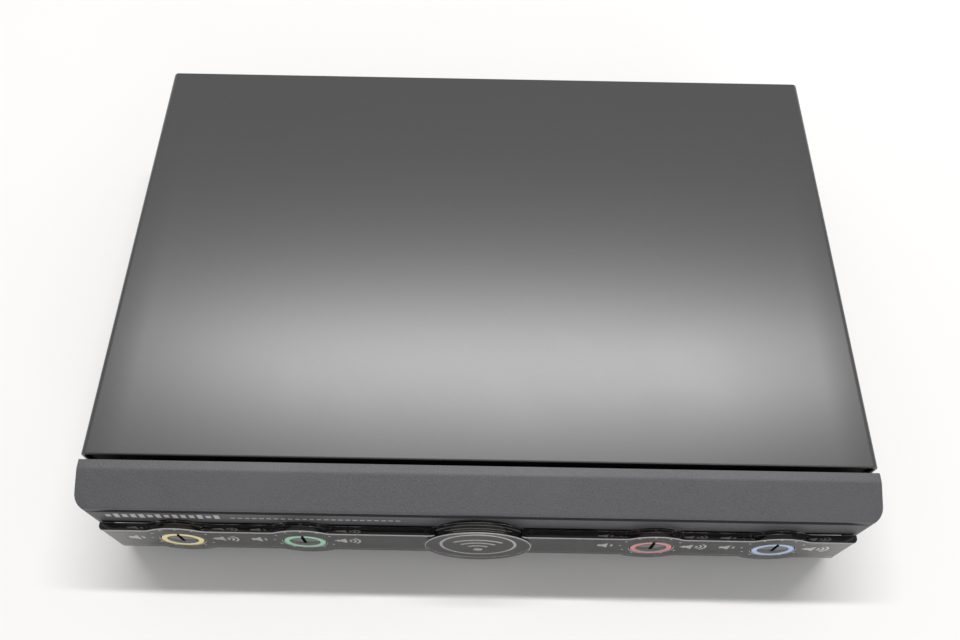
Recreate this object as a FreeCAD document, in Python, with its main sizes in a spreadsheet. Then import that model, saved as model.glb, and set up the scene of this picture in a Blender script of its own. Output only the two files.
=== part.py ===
"""Wireless (infrared) receiver unit: a half-rack desktop box with four flush level knobs.

Frame: millimetres, +Z up, the front faces -Y and +X is to the right seen from the front.
The origin is the centre of the bounding box on the surface that the unit stands on.
Every size below lives in the spreadsheet "Sizes", and each sub-part is bound to its cells.
"""
import FreeCAD, Part
import math
import os
import Sketcher
from types import SimpleNamespace

DRIVING_SIZES = {
    # casing
    "cover_width": 210.0,      # outer width of the folded cover
    "cover_depth": 134.5,      # front to back
    "unit_height": 44.0,       # surface to cover top
    "sheet": 1.0,              # steel sheet of cover and chassis
    "cover_bend": 1.8,         # outer bend radius of the cover
    "foot_height": 3.6,
    "foot_radius": 7.0,
    "foot_taper": 1.0,         # its bottom is this much narrower in radius
    "foot_inset": 18.0,        # foot centre from the casing's sides, front and back
    "flange_height": 12.0,     # chassis side and front flanges above the floor's underside
    "cover_screw_margin": 25.0,  # cover screws from the front and back edges
    # front moulding, measured forwards from the cover's front edge
    "bezel_gap": 1.25,         # open joint between cover and front moulding
    "bezel_drop": 0.95,        # its top strip lies this far under the cover's top
    "bezel_strip": 2.4,        # depth of the flat top strip
    "bezel_overhang": 0.3,     # wider than the cover, each side
    "bezel_brow": 13.3,        # forward reach of the rounded brow
    "bezel_brow_drop": 4.5,    # brow under the cover's top
    "bezel_brow_radius": 0.9,
    "bezel_face": 14.0,        # forward reach of the upright face
    "bezel_face_margin": 0.6,  # upright face starts this far above the window strip
    "bezel_undercut_rise": 6.4,   # undercut starts this far above the floor
    "bezel_undercut": 3.5,     # depth of the undercut at the bottom
    "bezel_lip": 1.0,          # lower edge above the floor's underside
    "bezel_wall": 2.2,
    "brow_wall_behind": 1.98,  # the brow's inner corner: behind its outer corner
    "brow_wall_below": 1.76,   # and below it
    "knob_passage_gap": 0.525,  # radial gap about a knob in the moulding
    "bezel_corner": 4.5,       # plan radius of the front corners
    "boss_radius": 2.8,
    "boss_rise": 1.0,          # lower bosses above the middle of the chassis flange
    "boss_inner": 29.2,        # lower bosses from the centre line
    "boss_outer": 92.0,
    "flange_setback": 1.0,     # chassis front flange behind the cover's front edge
    # window, film and centre disc
    "window_thick": 2.4,
    "film_thick": 0.2,
    "film_inset": 0.5,
    "film_overlap": 1.0,       # its sensor openings are lower than the moulding's, each way
    "window_width": 203.4,
    "window_height": 16.4,
    "window_centre": 21.8,     # height of the knob line above the surface
    "window_end_radius": 1.8,  # rounds its two upright front edges
    "window_edge": 0.25,       # polished edge chamfer
    "bump_radius": 11.0,       # round ear of the window about each knob
    "bump_blend": 2.5,
    "disc_radius": 14.6,
    "disc_proud": 0.6,
    # knobs and potentiometers
    "inner_knob": 47.6,        # distance from the centre line
    "outer_knob": 81.2,
    "knob_radius": 5.65,
    "cap_radius": 4.2,
    "knob_gap": 0.35,          # radial gap in the window
    "ring_thick": 3.0,
    "knob_depth": 4.6,
    "pointer_width": 0.9,
    "pointer_depth": 0.8,
    "pointer_tail": 1.7,       # pointer groove runs on past the centre
    "shaft_radius": 3.0,
    "shaft_play": 0.05,
    "shaft_embed": 3.0,        # length of shaft inside the cap
    "pot_size": 11.0,
    "pot_gap": 0.4,            # between the moulding's wall and the potentiometer
    "pot_floor": 1.2,
    # front board
    "front_board_ahead": 4.0,  # its front face, forwards of the cover's front edge
    "board_thick": 1.6,
    "front_board_width": 194.0,
    "front_board_height": 19.0,
    "front_board_rise": 2.0,   # its middle above the knob line
    "front_board_screw_x": 92.0,
    "front_board_screw_z": 6.5,
    "sensor_x": 25.0,
    "sensor_size": 8.0,
    "sensor_depth": 3.5,
    "sensor_dome": 3.0,
    "sensor_margin": 1.5,      # opening in the moulding about each sensor
    "led_x": 64.4,
    "led_radius": 1.5,
    "led_length": 6.6,
    # main board
    "standoff_height": 5.4,
    "standoff_radius": 3.0,
    "standoff_floor": 1.0,     # solid metal under the standoff's hole
    "main_board_width": 190.0,
    "main_board_setback": 9.0,  # front edge behind the cover's front edge
    "main_board_clear": 2.0,    # rear edge in front of the rear panel
    "standoff_inset": 6.0,     # from the board's sides
    "standoff_front": 19.0,    # from its front edge
    "standoff_back": 26.0,     # from its back edge
    "regulator_x": -50.0,      # components: across, and behind the board's front edge
    "regulator_y": 62.0,
    "regulator_width": 10.0,
    "regulator_thick": 4.5,
    "regulator_tall": 15.0,
    "sink_width": 26.0,
    "sink_plate": 2.0,
    "sink_fin": 1.0,
    "sink_fin_pitch": 5.0,
    "sink_fin_reach": 5.5,
    "sink_tall": 20.0,
    "shield_x": 66.0,
    "shield_y": 50.0,
    "shield_width": 44.0,
    "shield_depth": 34.0,
    "shield_tall": 9.0,
    "shield_wall": 0.4,
    "tuner_chip_shift": 9.0,
    "tuner_chip_width": 7.0,
    "tuner_chip_depth": 9.0,
    "processor_x": 8.0,
    "processor_y": 45.0,
    "processor_size": 20.0,
    "audio_chip_ahead": 23.7,  # in front of the output jacks
    "audio_chip_width": 6.0,
    "audio_chip_depth": 5.0,
    "chip_thick": 1.6,
    "capacitor_x": -78.0,      # first of the row
    "capacitor_y": 38.0,
    "capacitor_pitch": 12.0,
    "capacitor_radius": 4.0,
    "capacitor_tall": 12.0,
    "header_width": 18.0,
    "header_deep": 5.0,
    "header_tall": 6.0,
    "header_margin": 2.0,      # opening in the front wall about the header
    "header_y": 12.0,
    "ribbon_width": 16.0,
    "ribbon_thick": 0.8,
    # rear panel and its connectors
    "panel_thick": 1.2,
    "panel_recess": 0.6,
    "panel_clear": 0.4,
    "panel_screw_inner": 12.0,  # from the centre line
    "panel_screw_outer": 98.0,
    "panel_screw_rise": 2.4,   # above the chassis floor
    "connector_rise": 8.0,     # connector axis above the main board
    "rear_reach": 9.0,         # coaxial sockets stand this far behind the cover
    "coax_first": 68.0,
    "coax_pitch": 22.0,
    "coax_radius": 4.75,       # free barrel outside the nut
    "coax_neck": 4.5,          # through the nut and the panel
    "coax_inside": 8.0,        # neck length in front of the panel
    "coax_flange": 7.4,
    "coax_flange_thick": 1.5,
    "coax_core": 1.1,
    "jack_first": -22.0,
    "jack_pitch": 22.0,
    "jack_bore": 3.2,
    "jack_bushing": 4.6,
    "jack_bushing_reach": 4.0,
    "jack_width": 14.0,
    "jack_tall": 15.0,
    "jack_long": 20.0,
    "jack_end": 2.0,           # closed front end of the jack's bore
    "nut_thick": 2.2,
    "nut_radius": 7.0,         # across corners, half
    "inlet_x": -90.0,
    "inlet_width": 10.0,
    "inlet_tall": 12.0,
    "inlet_long": 13.0,
    "inlet_tube": 4.4,
    "inlet_bore": 3.2,
    "inlet_pin": 1.05,
    "inlet_end": 3.0,          # closed front end of the inlet's bore
    "inlet_pin_root": 1.0,
    "rocker_x": -68.0,
    "rocker_radius": 6.0,
    "rocker_width": 8.4,
    "rocker_gap": 0.3,
    "rocker_sink": 2.4,        # pivot line inside the switch's front face
    "rocker_valley": 2.8,      # valley of the rocker's face, out from the pivot line
    "rocker_pin": 1.0,
    "rocker_frame": 1.4,       # wall of the switch housing
    "rocker_contacts": 3.0,    # housing in front of the rocker's well
    "rocker_flange": 1.2,
    "rocker_flange_lip": 1.2,
    "slider_x": -45.0,
    "slider_travel": 4.0,
    "slider_width": 3.4,
    "slider_tall": 2.8,
    "slider_reach": 2.6,
    "slider_case_wall": 1.2,
    "slider_case_depth": 6.0,
    # fasteners
    "screw_radius": 1.5,
    "screw_play": 0.05,
    "screw_head": 2.8,
    "screw_head_thick": 1.6,
    "screw_length": 6.0,
}
ROCKER_SWING = 20.0            # degrees from one position of the power rocker to the other
CAPACITORS = 5
FINS = 5
CHANNELS = ("yellow", "green", "red", "blue")


class Size:
    """A length together with the spreadsheet formula that gives it."""

    def __init__(self, value, formula):
        self.value = float(value)
        self.formula = formula

    def __add__(self, other):
        other = as_size(other)
        return Size(self.value + other.value, f"({self.formula} + {other.formula})")

    def __sub__(self, other):
        other = as_size(other)
        return Size(self.value - other.value, f"({self.formula} - {other.formula})")

    def __mul__(self, other):
        other = as_size(other)
        return Size(self.value * other.value, f"({self.formula} * {other.formula})")

    def __truediv__(self, other):
        other = as_size(other)
        return Size(self.value / other.value, f"({self.formula} / {other.formula})")

    def __neg__(self):
        return self * -1

    def __radd__(self, other):
        return as_size(other) + self

    def __rsub__(self, other):
        return as_size(other) - self

    def __rmul__(self, other):
        return self * other


def as_size(number):
    return number if isinstance(number, Size) else Size(number, f"({float(number)})")


# ---------------------------------------------------------------- document and sheet
doc = FreeCAD.newDocument("receiver_unit")
sheet = doc.addObject("Spreadsheet::Sheet", "Sizes")
for row, (size_name, size_value) in enumerate(DRIVING_SIZES.items(), start=1):
    sheet.set(f"A{row}", size_name)
    sheet.set(f"B{row}", str(size_value))
    sheet.setAlias(f"B{row}", size_name)
doc.recompute()
d = SimpleNamespace(**{name: Size(value, f"Sizes.{name}") for name, value in DRIVING_SIZES.items()})

# ---------------------------------------------------------------- shared levels
half_width = d.cover_width / 2
inner_half = half_width - d.sheet
floor_under = d.foot_height
floor_top = d.foot_height + d.sheet
cover_under = d.unit_height - d.sheet
window_ahead = d.bezel_face + d.film_thick + d.window_thick
total_depth = d.disc_proud + window_ahead + d.cover_depth + d.rear_reach
front = d.disc_proud + window_ahead - total_depth / 2          # cover's front edge
back = front + d.cover_depth
window_front = front - window_ahead
bezel_front = front - d.bezel_face
bezel_inner = bezel_front + d.bezel_wall
bezel_half = half_width + d.bezel_overhang
flange_front = front + d.flange_setback
panel_out = back - d.panel_recess
panel_in = panel_out - d.panel_thick
board_under = floor_top + d.standoff_height
board_top = board_under + d.board_thick
connector_z = board_top + d.connector_rise
front_board_face = front - d.front_board_ahead
front_board_back = front_board_face + d.board_thick
pot_front = bezel_inner + d.pot_gap
jack_places = [d.jack_first + d.jack_pitch * i for i in range(len(CHANNELS))]
coax_places = [d.coax_first + d.coax_pitch * i for i in range(2)]
knob_places = dict(zip(CHANNELS, (-d.outer_knob, -d.inner_knob, d.inner_knob, d.outer_knob)))
past = as_size(1)              # cutting shapes run this far past what they cut
SUBPARTS = []


# ---------------------------------------------------------------- modelling helpers
def bind(thing, prop, size):
    thing.setExpression(prop, as_size(size).formula)


def place(thing, x, y, z):
    for axis, size in zip("xyz", (x, y, z)):
        bind(thing, f"Placement.Base.{axis}", size)


def subpart(thing, label):
    """Name a finished sub-part; its label becomes its file name."""
    thing.Label = label
    SUBPARTS.append(thing)
    return thing


def box(x, y, z, name="Block"):
    """Block between the pairs of coordinates x, y and z."""
    block = doc.addObject("Part::Box", name)
    for prop, (low, high) in zip(("Length", "Width", "Height"), (x, y, z)):
        bind(block, prop, high - low)
    place(block, x[0], y[0], z[0])
    return block


TURNS = {
    "x": FreeCAD.Rotation(FreeCAD.Vector(0, 1, 0), 90),
    "y": FreeCAD.Rotation(FreeCAD.Vector(1, 0, 0), -90),
    "z": FreeCAD.Rotation(),
}


def rod(along, radius, start, length, name="Rod"):
    """Cylinder from the point start, running in the positive direction of an axis."""
    cylinder = doc.addObject("Part::Cylinder", name)
    cylinder.Placement.Rotation = TURNS[along]
    bind(cylinder, "Radius", radius)
    bind(cylinder, "Height", length)
    place(cylinder, *start)
    return cylinder


def cone(along, radius_start, radius_end, start, length):
    taper = doc.addObject("Part::Cone", "Taper")
    taper.Placement.Rotation = TURNS[along]
    bind(taper, "Radius1", radius_start)
    bind(taper, "Radius2", radius_end)
    bind(taper, "Height", length)
    place(taper, *start)
    return taper


def ball(radius, centre):
    sphere = doc.addObject("Part::Sphere", "Ball")
    bind(sphere, "Radius", radius)
    place(sphere, *centre)
    return sphere


def hexagon(radius, start, length):
    """Hexagonal bar along +Y."""
    bar = doc.addObject("Part::Prism", "Hexagon")
    bar.Polygon = 6
    bar.Placement.Rotation = TURNS["y"]
    bind(bar, "Circumradius", radius)
    bind(bar, "Height", length)
    place(bar, *start)
    return bar


def fuse(shapes, name="Union"):
    union = doc.addObject("Part::MultiFuse", name)
    union.Shapes = shapes
    union.Refine = True
    return union


def cut(base, tools, name="Difference"):
    difference = doc.addObject("Part::Cut", name)
    difference.Base = base
    difference.Tool = tools[0] if len(tools) == 1 else fuse(tools)
    return difference


def group(shapes, name="Group"):
    """Several separate solids that share one node."""
    compound = doc.addObject("Part::Compound", name)
    compound.Links = shapes
    return compound


def new_body(name):
    return doc.addObject("PartDesign::Body", name)


def new_sketch(body, plane, offset=None):
    """Sketch on one of the body's own planes; offset moves its origin (local x, y, z)."""
    sketch = body.newObject("Sketcher::SketchObject", body.Name + "Sketch")
    origin_plane = next(f for f in body.Origin.OriginFeatures if f.Role == plane)
    sketch.AttachmentSupport = [(origin_plane, "")]
    sketch.MapMode = "FlatFace"
    if offset:
        for axis, size in zip("xyz", offset):
            bind(sketch, f"AttachmentOffset.Base.{axis}", size)
    return sketch


def fix_distance(sketch, kind, geometry, vertex, size):
    """Tie a vertex to the sketch's origin by one bound distance."""
    size = as_size(size)
    index = sketch.addConstraint(
        Sketcher.Constraint(kind, -1, 1, geometry, vertex, size.value))
    bind(sketch, f"Constraints[{index}]", size)


def fix_point(sketch, geometry, vertex, point):
    for kind, size in zip(("DistanceX", "DistanceY"), point):
        fix_distance(sketch, kind, geometry, vertex, size)


def draw_polygon(sketch, points):
    corners = [FreeCAD.Vector(as_size(u).value, as_size(v).value, 0) for u, v in points]
    first = sketch.GeometryCount
    count = len(corners)
    for i, corner in enumerate(corners):
        sketch.addGeometry(Part.LineSegment(corner, corners[(i + 1) % count]), False)
    for i in range(count):
        following = first + (i + 1) % count
        sketch.addConstraint(Sketcher.Constraint("Coincident", first + i, 2, following, 1))
    for i, point in enumerate(points):
        fix_point(sketch, first + i, 1, point)


def draw_circle(sketch, centre, radius):
    middle = FreeCAD.Vector(as_size(centre[0]).value, as_size(centre[1]).value, 0)
    index = sketch.addGeometry(
        Part.Circle(middle, FreeCAD.Vector(0, 0, 1), as_size(radius).value), False)
    fix_point(sketch, index, 3, centre)
    constraint = sketch.addConstraint(
        Sketcher.Constraint("Radius", index, as_size(radius).value))
    bind(sketch, f"Constraints[{constraint}]", radius)


def rectangle(low_u, high_u, low_v, high_v):
    return [(low_u, low_v), (high_u, low_v), (high_u, high_v), (low_u, high_v)]


def pad(body, sketch, length, reverse=False, middle=False):
    feature = body.newObject("PartDesign::Pad", body.Name + "Pad")
    feature.Profile = sketch
    feature.Reversed = reverse
    feature.Midplane = middle
    bind(feature, "Length", length)
    doc.recompute()
    return feature


def pocket(body, sketch, length, reverse=False, middle=False):
    """Pocket that must remove material: the volume is compared."""
    before = body.Shape.Volume
    feature = body.newObject("PartDesign::Pocket", body.Name + "Pocket")
    feature.Profile = sketch
    feature.Reversed = reverse
    feature.Midplane = middle
    bind(feature, "Length", length)
    doc.recompute()
    if not body.Shape.Volume < before:
        raise RuntimeError(f"{feature.Name} removes nothing")
    return feature


def edges_where(feature, test):
    """Names of the feature's edges for which test(start, end) is true."""
    names = []
    for index, edge in enumerate(feature.Shape.Edges, start=1):
        if len(edge.Vertexes) == 2:
            start, end = (vertex.Point for vertex in edge.Vertexes)
            if test(start, end):
                names.append(f"Edge{index}")
    return names


def near(value, size):
    return abs(value - as_size(size).value) < 0.01


def along_y(start, end):
    return near(start.x, end.x) and near(start.z, end.z)


def along_z(start, end):
    return near(start.x, end.x) and near(start.y, end.y)


def dress(body, kind, feature, edge_names, size):
    """Fillet or chamfer the named edges."""
    if not edge_names:
        raise RuntimeError(f"{body.Name} has no edge to dress")
    dressing = body.newObject(f"PartDesign::{kind}", body.Name + kind)
    dressing.Base = (feature, edge_names)
    bind(dressing, "Radius" if kind == "Fillet" else "Size", size)
    doc.recompute()
    return dressing


# ---------------------------------------------------------------- casing
cover_screw_ys = (front + d.cover_screw_margin, back - d.cover_screw_margin)
cover_screw_z = floor_under + d.flange_height / 2
foot_places = {
    "front_left": (-half_width + d.foot_inset, front + d.foot_inset),
    "front_right": (half_width - d.foot_inset, front + d.foot_inset),
    "rear_left": (-half_width + d.foot_inset, back - d.foot_inset),
    "rear_right": (half_width - d.foot_inset, back - d.foot_inset),
}


def make_top_cover():
    body = new_body("CoverFold")
    sketch = new_sketch(body, "XZ_Plane", (0, 0, -front))
    draw_polygon(sketch, [
        (-half_width, floor_under), (-half_width, d.unit_height),
        (half_width, d.unit_height), (half_width, floor_under),
        (inner_half, floor_under), (inner_half, cover_under),
        (-inner_half, cover_under), (-inner_half, floor_under)])
    fold = pad(body, sketch, d.cover_depth, reverse=True)
    outer = edges_where(fold, lambda a, b: along_y(a, b) and near(a.z, d.unit_height))
    rounded = dress(body, "Fillet", fold, outer, d.cover_bend)
    inner = edges_where(rounded, lambda a, b: along_y(a, b) and near(a.z, cover_under))
    dress(body, "Fillet", rounded, inner, d.cover_bend - d.sheet)
    sinks = []
    for y in cover_screw_ys:
        sinks.append(cone("x", d.screw_head, d.screw_radius, (-half_width, y, cover_screw_z), d.sheet))
        sinks.append(cone("x", d.screw_radius, d.screw_head, (inner_half, y, cover_screw_z), d.sheet))
    subpart(cut(body, sinks, "Cover"), "top_cover")


def make_cover_screws():
    screws = []
    for y in cover_screw_ys:
        for head, shank, sizes in (
                (-half_width, -half_width, (d.screw_head, d.screw_radius)),
                (inner_half, half_width - d.screw_length, (d.screw_radius, d.screw_head))):
            parts = [cone("x", *sizes, (head, y, cover_screw_z), d.sheet),
                     rod("x", d.screw_radius, (shank, y, cover_screw_z), d.screw_length)]
            screws.append(fuse(parts))
    subpart(group(screws), "cover_screws")


def make_bottom_chassis():
    wide = (-inner_half, inner_half)
    deep = (flange_front, panel_in)
    low = (floor_under, floor_under + d.flange_height)
    parts = [
        box(wide, deep, (floor_under, floor_top)),
        box(wide, (flange_front, flange_front + d.sheet), (floor_under, cover_under - d.panel_clear)),
        box(wide, (panel_in - d.sheet, panel_in), (floor_under, board_under - d.panel_clear)),
        box((-inner_half, -inner_half + d.sheet), deep, low),
        box((inner_half - d.sheet, inner_half), deep, low)]
    hole = d.screw_radius + d.screw_play
    holes = [rod("z", hole, (x, y, floor_under), d.sheet) for x, y in foot_places.values()]
    passage = d.header_width / 2 + d.header_margin
    holes.append(box((-passage, passage), (flange_front, flange_front + d.sheet),
                     (front_board_mid - d.header_tall, front_board_mid + d.header_tall)))
    for y in cover_screw_ys:
        holes.append(rod("x", hole, (-inner_half, y, cover_screw_z), d.cover_width - 2 * d.sheet))
    for x, z in bezel_screw_places:
        holes.append(rod("y", hole, (x, flange_front, z), d.sheet))
    for x, z in panel_screw_places:
        holes.append(rod("y", hole, (x, panel_in - d.sheet, z), d.sheet))
    subpart(cut(fuse(parts), holes, "Chassis"), "bottom_chassis")


def make_feet():
    for name, (x, y) in foot_places.items():
        pad_shape = cone("z", d.foot_radius - d.foot_taper, d.foot_radius, (x, y, 0), d.foot_height)
        recess = rod("z", d.screw_head + d.screw_play, (x, y, 0), d.foot_height / 2)
        hole = rod("z", d.screw_radius + d.screw_play, (x, y, 0), d.foot_height)
        subpart(cut(pad_shape, [recess, hole], "Foot"), f"foot_{name}")


def make_foot_screws():
    screws = []
    for x, y in foot_places.values():
        start = d.foot_height / 2 - d.screw_head_thick / 2
        head = rod("z", d.screw_head, (x, y, start), d.screw_head_thick / 2)
        shank = rod("z", d.screw_radius, (x, y, start), d.screw_length - d.screw_head_thick)
        screws.append(fuse([head, shank]))
    subpart(group(screws), "foot_screws")


# ---------------------------------------------------------------- front moulding
boss_z = floor_under + d.flange_height / 2 + d.boss_rise
bezel_screw_places = [(side * place_x, boss_z) for side in (-1, 1)
                      for place_x in (d.boss_inner, d.boss_outer)]
front_board_mid = d.window_centre + d.front_board_rise
front_board_low = front_board_mid - d.front_board_height / 2
front_board_high = front_board_mid + d.front_board_height / 2
front_board_screws_at = [(side * d.front_board_screw_x, front_board_mid + rise * d.front_board_screw_z)
                         for side in (-1, 1) for rise in (-1, 1)]


def make_front_bezel():
    body = new_body("Bezel")
    strip_z = d.unit_height - d.bezel_drop
    brow_z = d.unit_height - d.bezel_brow_drop
    face_top = d.window_centre + d.window_height / 2 + d.bezel_face_margin
    undercut_z = floor_under + d.bezel_undercut_rise
    lip_z = floor_under + d.bezel_lip
    rear = front - d.bezel_gap
    profile = new_sketch(body, "YZ_Plane")
    draw_polygon(profile, [
        (rear, strip_z), (rear - d.bezel_strip, strip_z), (front - d.bezel_brow, brow_z),
        (bezel_front, face_top), (bezel_front, undercut_z),
        (bezel_front + d.bezel_undercut, lip_z), (rear, lip_z)])
    block = pad(body, profile, 2 * bezel_half, middle=True)
    brow = edges_where(block, lambda a, b: near(a.z, brow_z) and near(b.z, brow_z))
    dress(body, "Fillet", block, brow, d.bezel_brow_radius)
    hollow = new_sketch(body, "YZ_Plane")
    wall = d.bezel_wall
    beyond = front + past
    draw_polygon(hollow, [
        (beyond, strip_z - wall), (rear - d.bezel_strip, strip_z - wall),
        (front - d.bezel_brow + d.brow_wall_behind, brow_z - d.brow_wall_below),
        (bezel_inner, face_top), (bezel_inner, undercut_z + wall / 3),
        (bezel_inner + d.bezel_undercut - wall / 3, lip_z + wall), (beyond, lip_z + wall)])
    pocket(body, hollow, 2 * (bezel_half - wall), middle=True)
    for side in (-1, 1):
        corner = new_sketch(body, "XY_Plane")
        outer = side * bezel_half
        arc_x = side * (bezel_half - d.bezel_corner)
        draw_round_corner(corner, outer, arc_x, bezel_front, d.bezel_corner, side)
        pocket(body, corner, d.unit_height, reverse=True)
    openings = new_sketch(body, "XZ_Plane", (0, 0, -bezel_front))
    for x in knob_places.values():
        draw_circle(openings, (x, d.window_centre), d.knob_radius + d.knob_passage_gap)
    for side in (-1, 1):
        draw_circle(openings, (side * d.led_x, d.window_centre), d.led_radius + d.knob_gap)
        reach = d.sensor_size / 2 + d.sensor_margin
        draw_polygon(openings, rectangle(
            side * d.sensor_x - reach, side * d.sensor_x + reach,
            d.window_centre - reach, d.window_centre + reach))
    pocket(body, openings, wall)
    boss_start = bezel_inner - wall / 4
    long_bosses = [rod("y", d.boss_radius, (x, boss_start, z), flange_front - boss_start)
                   for x, z in bezel_screw_places]
    board_bosses = [rod("y", d.boss_radius, (x, boss_start, z), front_board_face - boss_start)
                    for x, z in front_board_screws_at]
    hole = d.screw_radius + d.screw_play
    bores = [rod("y", hole, (x, flange_front - d.screw_length, z), d.screw_length)
             for x, z in bezel_screw_places]
    bores += [rod("y", hole, (x, front_board_face - d.screw_length, z), d.screw_length)
              for x, z in front_board_screws_at]
    tongue_half = inner_half - d.sheet
    tongue = box((-tongue_half, tongue_half), (rear - wall, flange_front), (lip_z, lip_z + wall))
    subpart(cut(fuse([body, tongue, *long_bosses, *board_bosses]), bores, "BezelWithBosses"),
            "front_bezel")


def draw_round_corner(sketch, outer_x, arc_x, face_y, radius, side):
    """Region outside a rounded corner: two straight edges and a tangent arc."""
    centre_y = face_y + radius
    centre = FreeCAD.Vector(arc_x.value, centre_y.value, 0)
    circle = Part.Circle(centre, FreeCAD.Vector(0, 0, 1), radius.value)
    quarter = {-1: (180, 270), 1: (270, 360)}[side]
    start, end = (FreeCAD.Units.Quantity(f"{angle} deg").getValueAs("rad").Value for angle in quarter)
    sketch.addGeometry(Part.ArcOfCircle(circle, start, end), False)
    corner = FreeCAD.Vector(outer_x.value, face_y.value, 0)
    on_side = FreeCAD.Vector(outer_x.value, centre_y.value, 0)
    on_front = FreeCAD.Vector(arc_x.value, face_y.value, 0)
    sketch.addGeometry(Part.LineSegment(on_side, corner), False)
    sketch.addGeometry(Part.LineSegment(corner, on_front), False)
    side_end, front_end = {-1: (1, 2), 1: (2, 1)}[side]
    sketch.addConstraint(Sketcher.Constraint("Coincident", 0, side_end, 1, 1))
    sketch.addConstraint(Sketcher.Constraint("Coincident", 1, 2, 2, 1))
    sketch.addConstraint(Sketcher.Constraint("Coincident", 2, 2, 0, front_end))
    fix_point(sketch, 0, 3, (arc_x, centre_y))
    fix_point(sketch, 1, 2, (outer_x, face_y))
    fix_distance(sketch, "DistanceY", 1, 1, centre_y)
    fix_distance(sketch, "DistanceX", 2, 2, arc_x)
    constraint = sketch.addConstraint(Sketcher.Constraint("Radius", 0, radius.value))
    bind(sketch, f"Constraints[{constraint}]", radius)


def make_bezel_screws():
    screws = []
    for x, z in bezel_screw_places:
        head_y = flange_front + d.sheet
        head = rod("y", d.screw_head, (x, head_y, z), d.screw_head_thick)
        shank_y = flange_front - d.screw_length + d.sheet
        shank = rod("y", d.screw_radius, (x, shank_y, z), d.screw_length)
        screws.append(fuse([head, shank]))
    subpart(group(screws), "bezel_screws")


def make_front_window():
    """Polished strip with a round ear about each knob and a raised disc in the middle."""
    body = new_body("Window")
    rest_y = window_front + d.window_thick
    half_long = d.window_width / 2
    half_tall = d.window_height / 2
    strip = new_sketch(body, "XZ_Plane", (0, d.window_centre, -rest_y))
    draw_polygon(strip, rectangle(-half_long, half_long, -half_tall, half_tall))
    flat = pad(body, strip, d.window_thick)
    ends = edges_where(flat, lambda a, b: along_z(a, b) and near(a.y, window_front))
    dress(body, "Fillet", flat, ends, d.window_end_radius)
    ears = new_sketch(body, "XZ_Plane", (0, d.window_centre, -rest_y))
    for x in knob_places.values():
        draw_circle(ears, (x, 0), d.bump_radius)
    joined = pad(body, ears, d.window_thick)
    top = d.window_centre + half_tall
    bottom = d.window_centre - half_tall
    ends_at = half_long - d.window_end_radius - past
    blends = edges_where(joined, lambda a, b: along_y(a, b) and abs(a.x) < ends_at.value
                         and (near(a.z, top) or near(a.z, bottom)))
    dress(body, "Fillet", joined, blends, d.bump_blend)
    disc = new_sketch(body, "XZ_Plane", (0, d.window_centre, -rest_y))
    draw_circle(disc, (0, 0), d.disc_radius)
    with_disc = pad(body, disc, d.window_thick + d.disc_proud)
    disc_front = window_front - d.disc_proud
    rim = [f"Edge{i}" for i, edge in enumerate(with_disc.Shape.Edges, start=1)
           if near(edge.BoundBox.YMin, disc_front) and near(edge.BoundBox.YMax, disc_front)]
    dress(body, "Chamfer", with_disc, rim, d.window_edge)
    holes = new_sketch(body, "XZ_Plane", (0, d.window_centre, -window_front))
    for x in knob_places.values():
        draw_circle(holes, (x, 0), d.knob_radius + d.knob_gap)
    pocket(body, holes, d.window_thick)
    subpart(body, "front_window")


def make_window_film():
    """Dark printed film between the window and the moulding."""
    deep = (bezel_front - d.film_thick, bezel_front)
    inset = d.film_inset
    half_long = d.window_width / 2 - inset
    half_tall = d.window_height / 2 - inset
    parts = [box((-half_long, half_long), deep,
                 (d.window_centre - half_tall, d.window_centre + half_tall)),
             rod("y", d.disc_radius - inset, (as_size(0), deep[0], d.window_centre), d.film_thick)]
    holes = []
    for x in knob_places.values():
        parts.append(rod("y", d.bump_radius - inset, (x, deep[0], d.window_centre), d.film_thick))
        holes.append(rod("y", d.knob_radius + d.knob_gap, (x, deep[0], d.window_centre), d.film_thick))
    for side in (-1, 1):
        reach = d.sensor_size / 2 + d.sensor_margin
        middle = side * d.sensor_x
        holes.append(box((middle - reach, middle + reach), deep,
                         (d.window_centre - reach + d.film_overlap,
                          d.window_centre + reach - d.film_overlap)))
    subpart(cut(fuse(parts), holes, "Film"), "window_print_film")


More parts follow.
